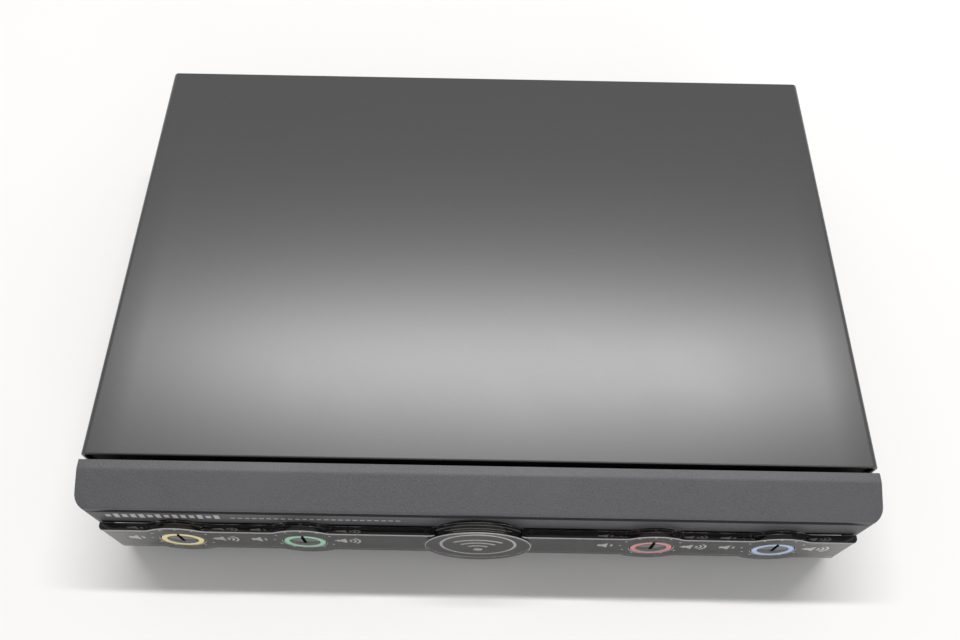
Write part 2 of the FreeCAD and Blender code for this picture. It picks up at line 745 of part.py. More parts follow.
# ---------------------------------------------------------------- knobs
def make_knob(channel, x):
    """Coloured collar, black cap with a pointer groove, and the shaft that turns with them."""
    groove_x = (x - d.pointer_width / 2, x + d.pointer_width / 2)
    groove_y = (window_front, window_front + d.pointer_depth)
    groove_z = (d.window_centre - d.pointer_tail, d.window_centre + d.knob_radius + past)
    centre = (x, window_front, d.window_centre)
    collar = rod("y", d.knob_radius, centre, d.ring_thick)
    inside = rod("y", d.cap_radius, centre, d.ring_thick)
    ring = cut(collar, [inside, box(groove_x, groove_y, groove_z)], "Ring")
    subpart(ring, f"knob_ring_{channel}")

    cap = new_body("Cap_" + channel)
    profile = new_sketch(cap, "XY_Plane", (x, window_front, d.window_centre))
    bore_end = d.knob_depth - d.shaft_embed
    draw_polygon(profile, [
        (0, 0), (d.cap_radius, 0), (d.cap_radius, d.ring_thick), (d.knob_radius, d.ring_thick),
        (d.knob_radius, d.knob_depth), (d.shaft_radius, d.knob_depth),
        (d.shaft_radius, bore_end), (0, bore_end)])
    turned = cap.newObject("PartDesign::Revolution", cap.Name + "Turned")
    turned.Profile = profile
    turned.ReferenceAxis = (profile, ["V_Axis"])
    turned.Angle = 360
    doc.recompute()
    groove = new_sketch(cap, "XZ_Plane", (0, 0, -window_front))
    draw_polygon(groove, rectangle(*groove_x, *groove_z))
    pocket(cap, groove, d.pointer_depth)
    subpart(cap, f"knob_cap_{channel}")

    shaft_start = window_front + bore_end
    shaft_end = front_board_face - d.pot_floor - d.knob_gap
    shaft = rod("y", d.shaft_radius, (x, shaft_start, d.window_centre), shaft_end - shaft_start, "Shaft")
    subpart(shaft, f"pot_shaft_{channel}")


def make_potentiometer(channel, x):
    half = d.pot_size / 2
    case = box((x - half, x + half), (pot_front, front_board_face),
               (d.window_centre - half, d.window_centre + half))
    bore_long = front_board_face - d.pot_floor - pot_front
    bore = rod("y", d.shaft_radius + d.shaft_play, (x, pot_front, d.window_centre), bore_long)
    subpart(cut(case, [bore], "PotCase"), f"pot_body_{channel}")


# ---------------------------------------------------------------- front board
def make_front_board():
    half = d.front_board_width / 2
    board = box((-half, half), (front_board_face, front_board_back), (front_board_low, front_board_high))
    hole = d.screw_radius + d.screw_play
    holes = [rod("y", hole, (x, front_board_face, z), d.board_thick) for x, z in front_board_screws_at]
    subpart(cut(board, holes, "FrontBoard"), "front_board")


def make_front_board_screws():
    screws = []
    for x, z in front_board_screws_at:
        head = rod("y", d.screw_head, (x, front_board_back, z), d.screw_head_thick)
        shank_y = front_board_back - d.screw_length
        shank = rod("y", d.screw_radius, (x, shank_y, z), d.screw_length)
        screws.append(fuse([head, shank]))
    subpart(group(screws), "front_board_screws")


def make_sensors():
    for name, side in (("left", -1), ("right", 1)):
        x = side * d.sensor_x
        half = d.sensor_size / 2
        face = front_board_face - d.sensor_depth
        case = box((x - half, x + half), (face, front_board_face),
                   (d.window_centre - half, d.window_centre + half))
        dome = ball(d.sensor_dome, (x, face, d.window_centre))
        subpart(fuse([case, dome], "Sensor"), f"infrared_sensor_{name}")


def make_status_leds():
    leds = []
    for side in (-1, 1):
        tip = (side * d.led_x, front_board_face - d.led_length, d.window_centre)
        leds.append(fuse([rod("y", d.led_radius, tip, d.led_length), ball(d.led_radius, tip)]))
    subpart(group(leds), "status_leds")


# ---------------------------------------------------------------- main board
board_front = front + d.main_board_setback
board_back = panel_in - d.main_board_clear
board_half = d.main_board_width / 2
standoff_places = [(side * (board_half - d.standoff_inset), y) for side in (-1, 1)
                   for y in (board_front + d.standoff_front, board_back - d.standoff_back)]


def on_board(x, y, wide, deep, tall):
    """Block standing on the main board, centred at x, y (y behind the board's front edge)."""
    middle = board_front + y
    return box((x - wide / 2, x + wide / 2), (middle - deep / 2, middle + deep / 2),
               (board_top, board_top + tall))


def make_main_board():
    board = box((-board_half, board_half), (board_front, board_back), (board_under, board_top))
    hole = d.screw_radius + d.screw_play
    holes = [rod("z", hole, (x, y, board_under), d.board_thick) for x, y in standoff_places]
    subpart(cut(board, holes, "MainBoard"), "main_board")
    posts = []
    screws = []
    for x, y in standoff_places:
        post = rod("z", d.standoff_radius, (x, y, floor_top), d.standoff_height)
        post_hole = rod("z", hole, (x, y, floor_top + d.standoff_floor),
                        d.standoff_height - d.standoff_floor)
        posts.append(cut(post, [post_hole]))
        head = rod("z", d.screw_head, (x, y, board_top), d.screw_head_thick)
        shank = rod("z", d.screw_radius, (x, y, board_top - d.screw_length), d.screw_length)
        screws.append(fuse([head, shank]))
    subpart(group(posts), "board_standoffs")
    subpart(group(screws), "board_screws")


def make_board_components():
    wall = d.shield_wall
    shell = on_board(d.shield_x, d.shield_y, d.shield_width, d.shield_depth, d.shield_tall)
    inside = on_board(d.shield_x, d.shield_y, d.shield_width - 2 * wall,
                      d.shield_depth - 2 * wall, d.shield_tall - wall)
    subpart(cut(shell, [inside], "Shield"), "tuner_shield_can")
    chips = [on_board(d.shield_x + side * d.tuner_chip_shift, d.shield_y,
                      d.tuner_chip_width, d.tuner_chip_depth, d.chip_thick) for side in (-1, 1)]
    subpart(group(chips), "tuner_chips")
    subpart(on_board(d.processor_x, d.processor_y, d.processor_size, d.processor_size,
                     d.chip_thick), "signal_processor")
    audio_y = panel_in - d.jack_long - d.audio_chip_ahead - board_front
    audio = [on_board(x, audio_y, d.audio_chip_width, d.audio_chip_depth, d.chip_thick)
             for x in jack_places]
    subpart(group(audio), "audio_chips")
    cans = [rod("z", d.capacitor_radius,
                (d.capacitor_x + i * d.capacitor_pitch, board_front + d.capacitor_y, board_top),
                d.capacitor_tall) for i in range(CAPACITORS)]
    subpart(group(cans), "electrolytic_capacitors")


def make_regulator():
    """Upright regulator flat against the plate of its finned heat sink."""
    subpart(on_board(d.regulator_x, d.regulator_y, d.regulator_width, d.regulator_thick,
                     d.regulator_tall), "voltage_regulator")
    plate_y = d.regulator_y + d.regulator_thick / 2 + d.sink_plate / 2
    fin_y = plate_y + d.sink_plate / 2 + d.sink_fin_reach / 2
    plate = on_board(d.regulator_x, plate_y, d.sink_width, d.sink_plate, d.sink_tall)
    fins = [on_board(d.regulator_x + (i - (FINS - 1) / 2) * d.sink_fin_pitch, fin_y, d.sink_fin,
                     d.sink_fin_reach, d.sink_tall) for i in range(FINS)]
    subpart(fuse([plate, *fins], "HeatSink"), "heat_sink")


def make_ribbon():
    """Flat cable from the front board back and down to the main board, and its two headers."""
    flat = d.ribbon_thick
    drop_y = board_front + d.header_y
    wide = (-d.header_width / 2, d.header_width / 2)
    front_header = box(wide, (front_board_back, front_board_back + d.header_tall),
                       (front_board_mid - d.header_deep / 2, front_board_mid + d.header_deep / 2))
    main_header = box(wide, (drop_y - d.header_deep / 2, drop_y + d.header_deep / 2),
                      (board_top, board_top + d.header_tall))
    subpart(group([front_header, main_header]), "ribbon_headers")
    body = new_body("Ribbon")
    path = new_sketch(body, "YZ_Plane")
    start = front_board_back + d.header_tall
    under = front_board_mid - flat / 2
    near_y = drop_y - flat / 2
    socket_top = board_top + d.header_tall
    draw_polygon(path, [
        (start, under), (near_y, under), (near_y, socket_top), (near_y + flat, socket_top),
        (near_y + flat, under + flat), (start, under + flat)])
    pad(body, path, d.ribbon_width, middle=True)
    subpart(body, "ribbon_cable")


# ---------------------------------------------------------------- rear panel
panel_screw_places = [(side * x, floor_top + d.panel_screw_rise) for side in (-1, 1)
                      for x in (d.panel_screw_inner, d.panel_screw_outer)]
rocker_half = d.rocker_radius + d.rocker_gap
rocker_half_wide = d.rocker_width / 2 + d.rocker_gap
housing_half = rocker_half + d.rocker_frame
housing_half_wide = rocker_half_wide + d.rocker_frame
rocker_axis_y = panel_out + d.rocker_flange - d.rocker_sink
slot_half = (d.slider_width + d.slider_travel) / 2 + d.rocker_gap
slot_half_tall = d.slider_tall / 2 + d.rocker_gap


def make_rear_panel():
    wide = inner_half - d.panel_clear
    plate = box((-wide, wide), (panel_in, panel_out),
                (floor_top + d.panel_clear / 2, cover_under - d.panel_clear))
    play = d.screw_play
    holes = [rod("y", d.jack_bushing + play, (x, panel_in, connector_z), d.panel_thick)
             for x in jack_places]
    holes += [rod("y", d.coax_neck + play, (x, panel_in, connector_z), d.panel_thick)
              for x in coax_places]
    holes += [rod("y", d.screw_radius + play, (x, panel_in, z), d.panel_thick)
              for x, z in panel_screw_places]
    holes.append(rod("y", d.inlet_tube + play, (d.inlet_x, panel_in, connector_z), d.panel_thick))
    holes.append(box((d.rocker_x - housing_half_wide - play, d.rocker_x + housing_half_wide + play),
                     (panel_in, panel_out),
                     (connector_z - housing_half - play, connector_z + housing_half + play)))
    holes.append(box((d.slider_x - slot_half, d.slider_x + slot_half), (panel_in, panel_out),
                     (connector_z - slot_half_tall, connector_z + slot_half_tall)))
    subpart(cut(plate, holes, "RearPanel"), "rear_panel")
    screws = []
    for x, z in panel_screw_places:
        head = rod("y", d.screw_head, (x, panel_out, z), d.screw_head_thick)
        shank_y = panel_out - d.screw_length
        shank = rod("y", d.screw_radius, (x, shank_y, z), d.screw_length)
        screws.append(fuse([head, shank]))
    subpart(group(screws), "panel_screws")


def hex_nuts(places, inner_radius, thick):
    """Nuts that clamp round sockets against the panel's outer face."""
    nuts = []
    for x in places:
        start = (x, panel_out, connector_z)
        nuts.append(cut(hexagon(d.nut_radius, start, thick),
                        [rod("y", inner_radius + d.screw_play, start, thick)]))
    return group(nuts)


def make_output_jacks():
    half = d.jack_width / 2
    for channel, x in zip(CHANNELS, jack_places):
        case = box((x - half, x + half), (panel_in - d.jack_long, panel_in),
                   (board_top, board_top + d.jack_tall))
        through = panel_out + d.jack_bushing_reach
        bushing = rod("y", d.jack_bushing, (x, panel_in, connector_z), through - panel_in)
        deep = through - panel_in + d.jack_long - d.jack_end
        bore = rod("y", d.jack_bore, (x, through - deep, connector_z), deep)
        subpart(cut(fuse([case, bushing]), [bore], "Jack"), f"output_jack_{channel}")
    subpart(hex_nuts(jack_places, d.jack_bushing, d.nut_thick), "jack_nuts")


def make_coax_sockets():
    """Neck through the panel and its nut, and a wider barrel that starts at the nut's face."""
    barrel_start = panel_out + d.nut_thick
    tip = back + d.rear_reach
    for name, x in zip("ab", coax_places):
        neck = rod("y", d.coax_neck, (x, panel_in - d.coax_inside, connector_z),
                   barrel_start - panel_in + d.coax_inside)
        barrel = rod("y", d.coax_radius, (x, barrel_start, connector_z), tip - barrel_start)
        flange = rod("y", d.coax_flange, (x, panel_in - d.coax_flange_thick, connector_z),
                     d.coax_flange_thick)
        core = rod("y", d.coax_core, (x, tip - d.coax_inside, connector_z), d.coax_inside)
        subpart(cut(fuse([neck, barrel, flange]), [core], "Coax"), f"sensor_socket_{name}")
    subpart(hex_nuts(coax_places, d.coax_neck, d.nut_thick), "socket_nuts")


def make_power_inlet():
    half = d.inlet_width / 2
    case = box((d.inlet_x - half, d.inlet_x + half), (panel_in - d.inlet_long, panel_in),
               (board_top, board_top + d.inlet_tall))
    tube = rod("y", d.inlet_tube, (d.inlet_x, panel_in, connector_z), d.panel_thick)
    deep = d.inlet_long - d.inlet_end + d.panel_thick
    bore = rod("y", d.inlet_bore, (d.inlet_x, panel_out - deep, connector_z), deep)
    pin = rod("y", d.inlet_pin, (d.inlet_x, panel_out - deep - d.inlet_pin_root, connector_z), deep)
    subpart(fuse([cut(fuse([case, tube]), [bore]), pin], "Inlet"), "power_inlet")


def make_power_switch():
    x = d.rocker_x
    deep = 2 * d.rocker_radius + d.rocker_contacts
    outer = panel_out + d.rocker_flange
    housing = box((x - housing_half_wide, x + housing_half_wide), (outer - deep, outer),
                  (connector_z - housing_half, connector_z + housing_half))
    lip = d.rocker_flange_lip
    flange = box((x - housing_half_wide - lip, x + housing_half_wide + lip), (panel_out, outer),
                 (connector_z - housing_half - lip, connector_z + housing_half + lip))
    well = box((x - rocker_half_wide, x + rocker_half_wide),
               (rocker_axis_y - rocker_half, outer),
               (connector_z - rocker_half, connector_z + rocker_half))
    pin_half = rocker_half_wide + d.rocker_frame / 2
    pivot = rod("x", d.rocker_pin + d.shaft_play, (x - pin_half, rocker_axis_y, connector_z), 2 * pin_half)
    subpart(cut(fuse([housing, flange]), [well, pivot], "SwitchCase"), "power_switch_body")

    drum = rod("x", d.rocker_radius, (x - d.rocker_width / 2, rocker_axis_y, connector_z), d.rocker_width)
    valley_y = rocker_axis_y + d.rocker_valley
    far_y = rocker_axis_y + 2 * d.rocker_radius
    high = connector_z + 2 * d.rocker_radius
    low = connector_z - 2 * d.rocker_radius
    slope_y = valley_y + 2 * d.rocker_radius * math.tan(math.radians(ROCKER_SWING))
    shave = new_body("Shave")
    outline = new_sketch(shave, "YZ_Plane", (0, 0, x))
    draw_polygon(outline, [
        (valley_y, connector_z), (valley_y, high), (far_y, high), (far_y, low), (slope_y, low)])
    pad(shave, outline, d.rocker_width + 2 * past, middle=True)
    pins = rod("x", d.rocker_pin, (x - pin_half + d.shaft_play, rocker_axis_y, connector_z),
               2 * (pin_half - d.shaft_play))
    subpart(fuse([cut(drum, [shave]), pins], "Rocker"), "power_rocker")


def make_mode_switch():
    x = d.slider_x
    wall = d.slider_case_wall
    case = box((x - slot_half - wall, x + slot_half + wall),
               (panel_in - d.slider_case_depth, panel_in),
               (board_top, connector_z + slot_half_tall + wall))
    slot = box((x - slot_half, x + slot_half), (panel_in - d.slider_case_depth + wall, panel_in),
               (connector_z - slot_half_tall, connector_z + slot_half_tall))
    subpart(cut(case, [slot], "SliderCase"), "mode_switch_body")
    left = x - d.slider_travel / 2 - d.slider_width / 2
    start = panel_in - d.slider_case_depth + wall + d.rocker_gap
    slider = box((left, left + d.slider_width), (start, panel_out + d.slider_reach),
                 (connector_z - d.slider_tall / 2, connector_z + d.slider_tall / 2))
    subpart(slider, "mode_slider")


# ---------------------------------------------------------------- build, check, export
make_top_cover()
make_bottom_chassis()
make_feet()
make_foot_screws()
make_cover_screws()
make_front_bezel()
make_bezel_screws()
make_front_window()
make_window_film()
for knob_channel, knob_x in knob_places.items():
    make_knob(knob_channel, knob_x)
    make_potentiometer(knob_channel, knob_x)
make_front_board()
make_front_board_screws()
make_sensors()
make_status_leds()
make_main_board()
make_board_components()
make_regulator()
make_ribbon()
make_rear_panel()
make_output_jacks()
make_coax_sockets()
make_power_inlet()
make_power_switch()
make_mode_switch()
doc.recompute()

for thing in doc.Objects:
    if "Invalid" in thing.State or "Error" in thing.State:
        raise RuntimeError(f"{thing.Name} did not build: {thing.State}")
os.makedirs("parts", exist_ok=True)
for piece in SUBPARTS:
    if piece.Shape.isNull() or not piece.Shape.isValid() or not piece.Shape.Solids:
        raise RuntimeError(f"{piece.Label} has no valid solid")
for piece in SUBPARTS:
    piece.Shape.exportStep(f"parts/{piece.Label}.step")
print(len(SUBPARTS), "sub-parts")
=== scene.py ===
# %% [markdown]
# A half-rack wireless receiver unit, dressed as it looks on a table.
# The steel, plastic and metal parts come packed as a fixed frame, in metres, with the front facing -Y.
# This lesson keeps the parts whose shape is already right, gives every one a finish, and builds finer
# surfaces for the ones that an eye rests on: the folded cover, the front moulding, the polished window,
# the knobs, the printed symbols and the sockets at the back.

# %% Load the frame
import math

import bmesh
import bpy
import numpy as np
from mathutils import Matrix, Vector
from mathutils.geometry import tessellate_polygon


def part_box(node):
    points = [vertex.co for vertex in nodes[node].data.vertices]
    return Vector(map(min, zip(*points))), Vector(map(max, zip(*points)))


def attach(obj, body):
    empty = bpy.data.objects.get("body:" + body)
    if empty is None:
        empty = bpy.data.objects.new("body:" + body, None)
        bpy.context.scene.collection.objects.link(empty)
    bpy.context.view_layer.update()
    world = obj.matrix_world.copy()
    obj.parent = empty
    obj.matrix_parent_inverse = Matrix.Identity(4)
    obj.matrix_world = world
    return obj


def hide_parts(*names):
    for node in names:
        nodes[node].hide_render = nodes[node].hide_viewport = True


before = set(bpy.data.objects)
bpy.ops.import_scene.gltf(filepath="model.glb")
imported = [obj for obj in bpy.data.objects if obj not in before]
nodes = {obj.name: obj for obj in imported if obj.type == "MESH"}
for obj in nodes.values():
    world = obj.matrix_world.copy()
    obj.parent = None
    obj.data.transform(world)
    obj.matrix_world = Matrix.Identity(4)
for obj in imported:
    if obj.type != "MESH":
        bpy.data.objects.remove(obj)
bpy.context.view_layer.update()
MM = 0.001
SAME_POINT = 1e-7
CHANNELS = ("yellow", "green", "red", "blue")
print("packed parts:", len(nodes))

# %% [markdown]
# ## Helpers for surfaces
# A surface is a function of two parameters. On a grid of those parameters every point is worked out at
# once as a numpy array, and the grid's neighbours become four-sided faces. Closing the grid in one
# direction makes a tube, and closing it in both makes a ring.

# %% Grids, fans and flat regions
def grid_faces(rows, columns, wrap_rows=False, wrap_columns=False, first=0):
    """Quads between neighbours of a rows x columns grid of points."""
    row = np.arange(rows if wrap_rows else rows - 1)
    column = np.arange(columns if wrap_columns else columns - 1)
    i, j = (index.ravel() for index in np.meshgrid(row, column, indexing="ij"))
    below, beside = (i + 1) % rows, (j + 1) % columns
    corners = np.stack([i * columns + j, below * columns + j, below * columns + beside,
                        i * columns + beside], axis=1)
    return (corners + first).tolist()


def flat_faces(loops, indices):
    """Triangles that fill the first loop of (u, v) points and leave the other loops open."""
    index = np.concatenate(indices)
    flat = [[Vector((u, v, 0)) for u, v in loop] for loop in loops]
    return [[int(index[corner]) for corner in triangle] for triangle in tessellate_polygon(flat)]


class Piece:
    """Collects the points and faces of one piece, part by part."""

    def __init__(self, name):
        self.name = name
        self.points = []
        self.faces = []
        self.count = 0

    def add(self, points, faces):
        """faces count from 0 within these points."""
        points = np.asarray(points, float).reshape(-1, 3)
        self.faces += [[corner + self.count for corner in face] for face in faces]
        self.points.append(points)
        self.count += len(points)
        return self

    def build(self, body, material, slot, stands_for=(), smooth_angle=30):
        """Makes the mesh, smooth up to an angle, and lets it ride on its body."""
        mesh = bpy.data.meshes.new(self.name)
        mesh.from_pydata(np.concatenate(self.points).tolist(), [], self.faces)
        close_shells(mesh)
        piece = bpy.data.objects.new(self.name, mesh)
        bpy.context.scene.collection.objects.link(piece)
        mesh.polygons.foreach_set("use_smooth", [True] * len(mesh.polygons))
        mesh.set_sharp_from_angle(angle=math.radians(smooth_angle))
        mesh.materials.append(material)
        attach(piece, body)
        if stands_for:
            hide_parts(*stands_for)
        return piece


def close_shells(mesh):
    """Merges doubled points, drops faces without area and turns every shell's faces outwards."""
    shell = bmesh.new()
    shell.from_mesh(mesh)
    bmesh.ops.remove_doubles(shell, verts=shell.verts, dist=SAME_POINT)
    bmesh.ops.dissolve_degenerate(shell, edges=shell.edges, dist=SAME_POINT)
    bmesh.ops.recalc_face_normals(shell, faces=shell.faces)
    shell.to_mesh(mesh)
    shell.free()


def upright(flat, depth):
    """Where a flat point (u, v) at a depth lies: u across, v up, and the depth along Y."""
    return flat[:, 0], depth, flat[:, 1]


def circle_points(centre, radius, count=64, start=0.0, stop=2 * math.pi, closed=True):
    """Points of a circle or an arc: centre + radius * (cos, sin)."""
    angle = np.linspace(start, stop, count, endpoint=not closed)
    return np.stack([centre[0] + radius * np.cos(angle), centre[1] + radius * np.sin(angle)], axis=1)


def arc(centre, radius, start, stop, count=12):
    return circle_points(centre, radius, count, math.radians(start), math.radians(stop), closed=False)


def inset_loop(loop, amount):
    """Moves each point of a counter-clockwise loop inwards along the mean normal of its two edges."""
    following = np.roll(loop, -1, axis=0) - loop
    following /= np.linalg.norm(following, axis=1, keepdims=True) + 1e-15
    before = np.roll(following, 1, axis=0)
    normal = np.stack([-(following[:, 1] + before[:, 1]), following[:, 0] + before[:, 0]], axis=1)
    length = np.linalg.norm(normal, axis=1, keepdims=True)
    normal /= length + 1e-15
    half_turn = np.clip(length[:, 0] / 2, 0.5, 1)
    return loop + normal * (amount / half_turn)[:, None]


def slab(piece, outline, holes, levels, to_space=upright):
    """Flat region carried along its normal.

    levels lists (depth, inset) from the back to the front: at each level the outline is moved inwards
    and the holes outwards by the inset, which rounds or chamfers the rims. The first and the last level
    are filled.
    """
    loops = [outline] + [hole[::-1] for hole in holes]
    points, faces, starts = [], [], []
    total = 0
    for loop in loops:
        starts.append(total)
        for depth, inset in levels:
            moved = inset_loop(loop, inset)
            points.append(np.stack(to_space(moved, np.full(len(moved), depth)), axis=1))
        faces += grid_faces(len(levels), len(loop), wrap_columns=True, first=total)
        total += len(levels) * len(loop)
    for level in (0, len(levels) - 1):
        moved = [inset_loop(loop, levels[level][1]) for loop in loops]
        faces += flat_faces(moved, [start + level * len(loop) + np.arange(len(loop))
                                    for start, loop in zip(starts, loops)])
    return piece.add(np.concatenate(points), faces)


def round_slab(piece, centre, radius, levels, hole=0.0, count=96, hole_count=96, to_space=upright):
    """A disc or, with a hole's radius, a ring, carried through the levels."""
    holes = [circle_points(centre, hole, hole_count)] if hole else []
    return slab(piece, circle_points(centre, radius, count), holes, levels, to_space)


def turned(piece, y, radius, centre, segments=96, ring=False):
    """Point(i, j): radius(i, j) * (cos, sin)(angle j) about the centre, and y(i, j) along the axis."""
    angle = np.linspace(0, 2 * math.pi, segments, endpoint=False)
    radius = np.broadcast_to(radius, (len(radius), segments))
    y = np.broadcast_to(y, radius.shape)
    points = np.stack([centre[0] + radius * np.cos(angle), y, centre[1] + radius * np.sin(angle)], axis=2)
    return piece.add(points, grid_faces(len(radius), segments, wrap_rows=ring, wrap_columns=True))


def as_column(values):
    return np.asarray(values, float)[:, None]


def rounded_steps(corners, radius, count=5):
    """Open line through the corners with each inner corner rounded by a quadratic curve."""
    corners = np.asarray(corners, float)
    points = [corners[0]]
    t = np.linspace(0, 1, count)[:, None]
    for before, corner, after in zip(corners[:-2], corners[1:-1], corners[2:]):
        start, stop = (corner + (end - corner) * min(radius / (np.linalg.norm(end - corner) + 1e-15), 0.5)
                       for end in (before, after))
        points += list((1 - t) ** 2 * start + 2 * t * (1 - t) * corner + t ** 2 * stop)
    return np.array(points + [corners[-1]])

# %% [markdown]
# ## Finishes
# The real cover is painted steel with a fine tooth, the front is spark-textured plastic and the window
# is polished acrylic. Their grain could be painted on an unwrapped surface; noise on each part's own
# coordinates keeps its true size on every part without any unwrapping. Effects that several finishes
# share are node groups: a fine grain for paint, mouldings and rubber, and a soft mottling of wear and
# finger marks. Each finish then sets its own values.

# %% Shared effect groups
def new_group(name, inputs, outputs):
    """A group whose sockets are numbers: inputs by name with their usual values, outputs by name."""
    group = bpy.data.node_groups.new(name, "ShaderNodeTree")
    for socket_name, value in inputs.items():
        socket = group.interface.new_socket(socket_name, in_out="INPUT", socket_type="NodeSocketFloat")
        socket.default_value = value
    for socket_name in outputs:
        group.interface.new_socket(socket_name, in_out="OUTPUT", socket_type="NodeSocketFloat")
    return group, group.nodes.new("NodeGroupInput"), group.nodes.new("NodeGroupOutput")


def set_inputs(node, values):
    for socket, value in values.items():
        node.inputs[socket].default_value = value


def add_node(tree, kind, inputs=None, **values):
    """A node with its properties set first, and then the values of its inputs."""
    node = tree.nodes.new(kind)
    for key, value in values.items():
        setattr(node, key, value)
    set_inputs(node, inputs or {})
    return node


def wire(tree, *links):
    """Each link is (node, its output, next node, its input)."""
    for source, output, target, socket in links:
        tree.links.new(source.outputs[output], target.inputs[socket])


def new_material(name, inputs):
    """A material, its node tree and its Principled shader with the given values."""
    material = bpy.data.materials.new(name)
    material.use_nodes = True
    shader = material.node_tree.nodes["Principled BSDF"]
    set_inputs(shader, inputs)
    return material, material.node_tree, shader


def make_grain_group():
    """Surface grain: two octaves of noise on Object coordinates, blended into one height."""
    group, source, target = new_group("surface grain", {"Cells per metre": 2500.0, "Coarse share": 0.3},
                                      ["Height"])
    place = add_node(group, "ShaderNodeTexCoord")
    fine = add_node(group, "ShaderNodeTexNoise", {"Detail": 3.0})
    coarse = add_node(group, "ShaderNodeTexNoise", {"Detail": 2.0})
    slower = add_node(group, "ShaderNodeMath", {1: 0.22}, operation="MULTIPLY")
    blend = add_node(group, "ShaderNodeMix", data_type="FLOAT")
    wire(group, (place, "Object", fine, "Vector"), (place, "Object", coarse, "Vector"),
         (source, "Cells per metre", fine, "Scale"), (source, "Cells per metre", slower, 0),
         (slower, 0, coarse, "Scale"), (source, "Coarse share", blend, "Factor"),
         (fine, "Fac", blend, "A"), (coarse, "Fac", blend, "B"), (blend, "Result", target, "Height"))
    return group


def make_mottle_group():
    """Handling marks: broad noise, sharpened into patches between two levels."""
    group, source, target = new_group(
        "handling marks", {"Patches per metre": 18.0, "From": 0.45, "To": 0.8}, ["Mask"])
    place = add_node(group, "ShaderNodeTexCoord")
    noise = add_node(group, "ShaderNodeTexNoise", {"Detail": 6.0, "Roughness": 0.6, "Distortion": 0.4})
    levels = add_node(group, "ShaderNodeMapRange")
    wire(group, (place, "Object", noise, "Vector"), (source, "Patches per metre", noise, "Scale"),
         (noise, "Fac", levels, "Value"), (source, "From", levels, "From Min"),
         (source, "To", levels, "From Max"), (levels, "Result", target, "Mask"))
    return group


GRAIN = make_grain_group()
MOTTLE = make_mottle_group()

# %% One recipe for most finishes
COAT_ROUGHNESS = 0.05
WORN_LIGHTER = 1.25           # a worn patch against the fresh colour
WORN_SMOOTHER = 0.85
SHADOW_PASS = 0.85            # share of the light that passes the clear window


def finish(name, colour, roughness, grain=0.0, cells=2500.0, coarse=0.3, worn=None, worn_roughness=None,
           patches=18.0, bump_depth=0.00004, metallic=0.0, coat=0.0, specular=0.5, anisotropic=0.0,
           speckle=0.0):
    """A Principled finish: a base colour and roughness that drift towards worn values in patches, and a
    grain that bumps the surface and, as speckle, lightens and darkens the colour."""
    material, tree, shader = new_material(name, {
        "Metallic": metallic, "Coat Weight": coat, "Coat Roughness": COAT_ROUGHNESS,
        "Specular IOR Level": specular, "Anisotropic": anisotropic})
    marks = add_node(tree, "ShaderNodeGroup", {"Patches per metre": patches}, node_tree=MOTTLE)
    worn = worn or [channel * WORN_LIGHTER for channel in colour]
    if worn_roughness is None:
        worn_roughness = roughness * WORN_SMOOTHER
    tint = add_node(tree, "ShaderNodeMix", {"A": (*colour, 1), "B": (*worn, 1)}, data_type="RGBA")
    rough = add_node(tree, "ShaderNodeMix", {"A": roughness, "B": worn_roughness}, data_type="FLOAT")
    wire(tree, (marks, "Mask", tint, "Factor"), (marks, "Mask", rough, "Factor"),
         (tint, "Result", shader, "Base Color"), (rough, "Result", shader, "Roughness"))
    if not grain:
        return material
    texture = add_node(tree, "ShaderNodeGroup", {"Cells per metre": cells, "Coarse share": coarse},
                       node_tree=GRAIN)
    bump = add_node(tree, "ShaderNodeBump", {"Strength": grain, "Distance": bump_depth})
    wire(tree, (texture, "Height", bump, "Height"), (bump, "Normal", shader, "Normal"))
    if speckle:
        sparks = add_node(tree, "ShaderNodeMapRange", {"From Min": 0.36, "From Max": 0.64})
        dark, light = ([channel * share for channel in colour] for share in (1 - speckle, 1 + speckle))
        grains = add_node(tree, "ShaderNodeMix", {"A": (*dark, 1), "B": (*light, 1)}, data_type="RGBA")
        wire(tree, (texture, "Height", sparks, "Value"), (sparks, "Result", grains, "Factor"),
             (grains, "Result", tint, "A"))
    return material


def clear_acrylic(name, tint, edge_tint, roughness):
    """Polished smoked plastic. Light runs a long way through the sheet to its edges, so the piece's own
    "edge" attribute picks a much deeper tint there. Shadow rays mostly pass, as light does."""
    material, tree, shader = new_material(name, {"Roughness": roughness, "Transmission Weight": 1.0,
                                                 "IOR": 1.49})
    edge = add_node(tree, "ShaderNodeAttribute", attribute_name="edge")
    depth = add_node(tree, "ShaderNodeMix", {"A": (*tint, 1), "B": (*edge_tint, 1)}, data_type="RGBA")
    rays = add_node(tree, "ShaderNodeLightPath")
    passing = add_node(tree, "ShaderNodeMath", {1: -SHADOW_PASS, 2: 1.0}, operation="MULTIPLY_ADD")
    wire(tree, (edge, "Fac", depth, "Factor"), (depth, "Result", shader, "Base Color"),
         (rays, "Is Shadow Ray", passing, 0), (passing, 0, shader, "Alpha"))
    return material

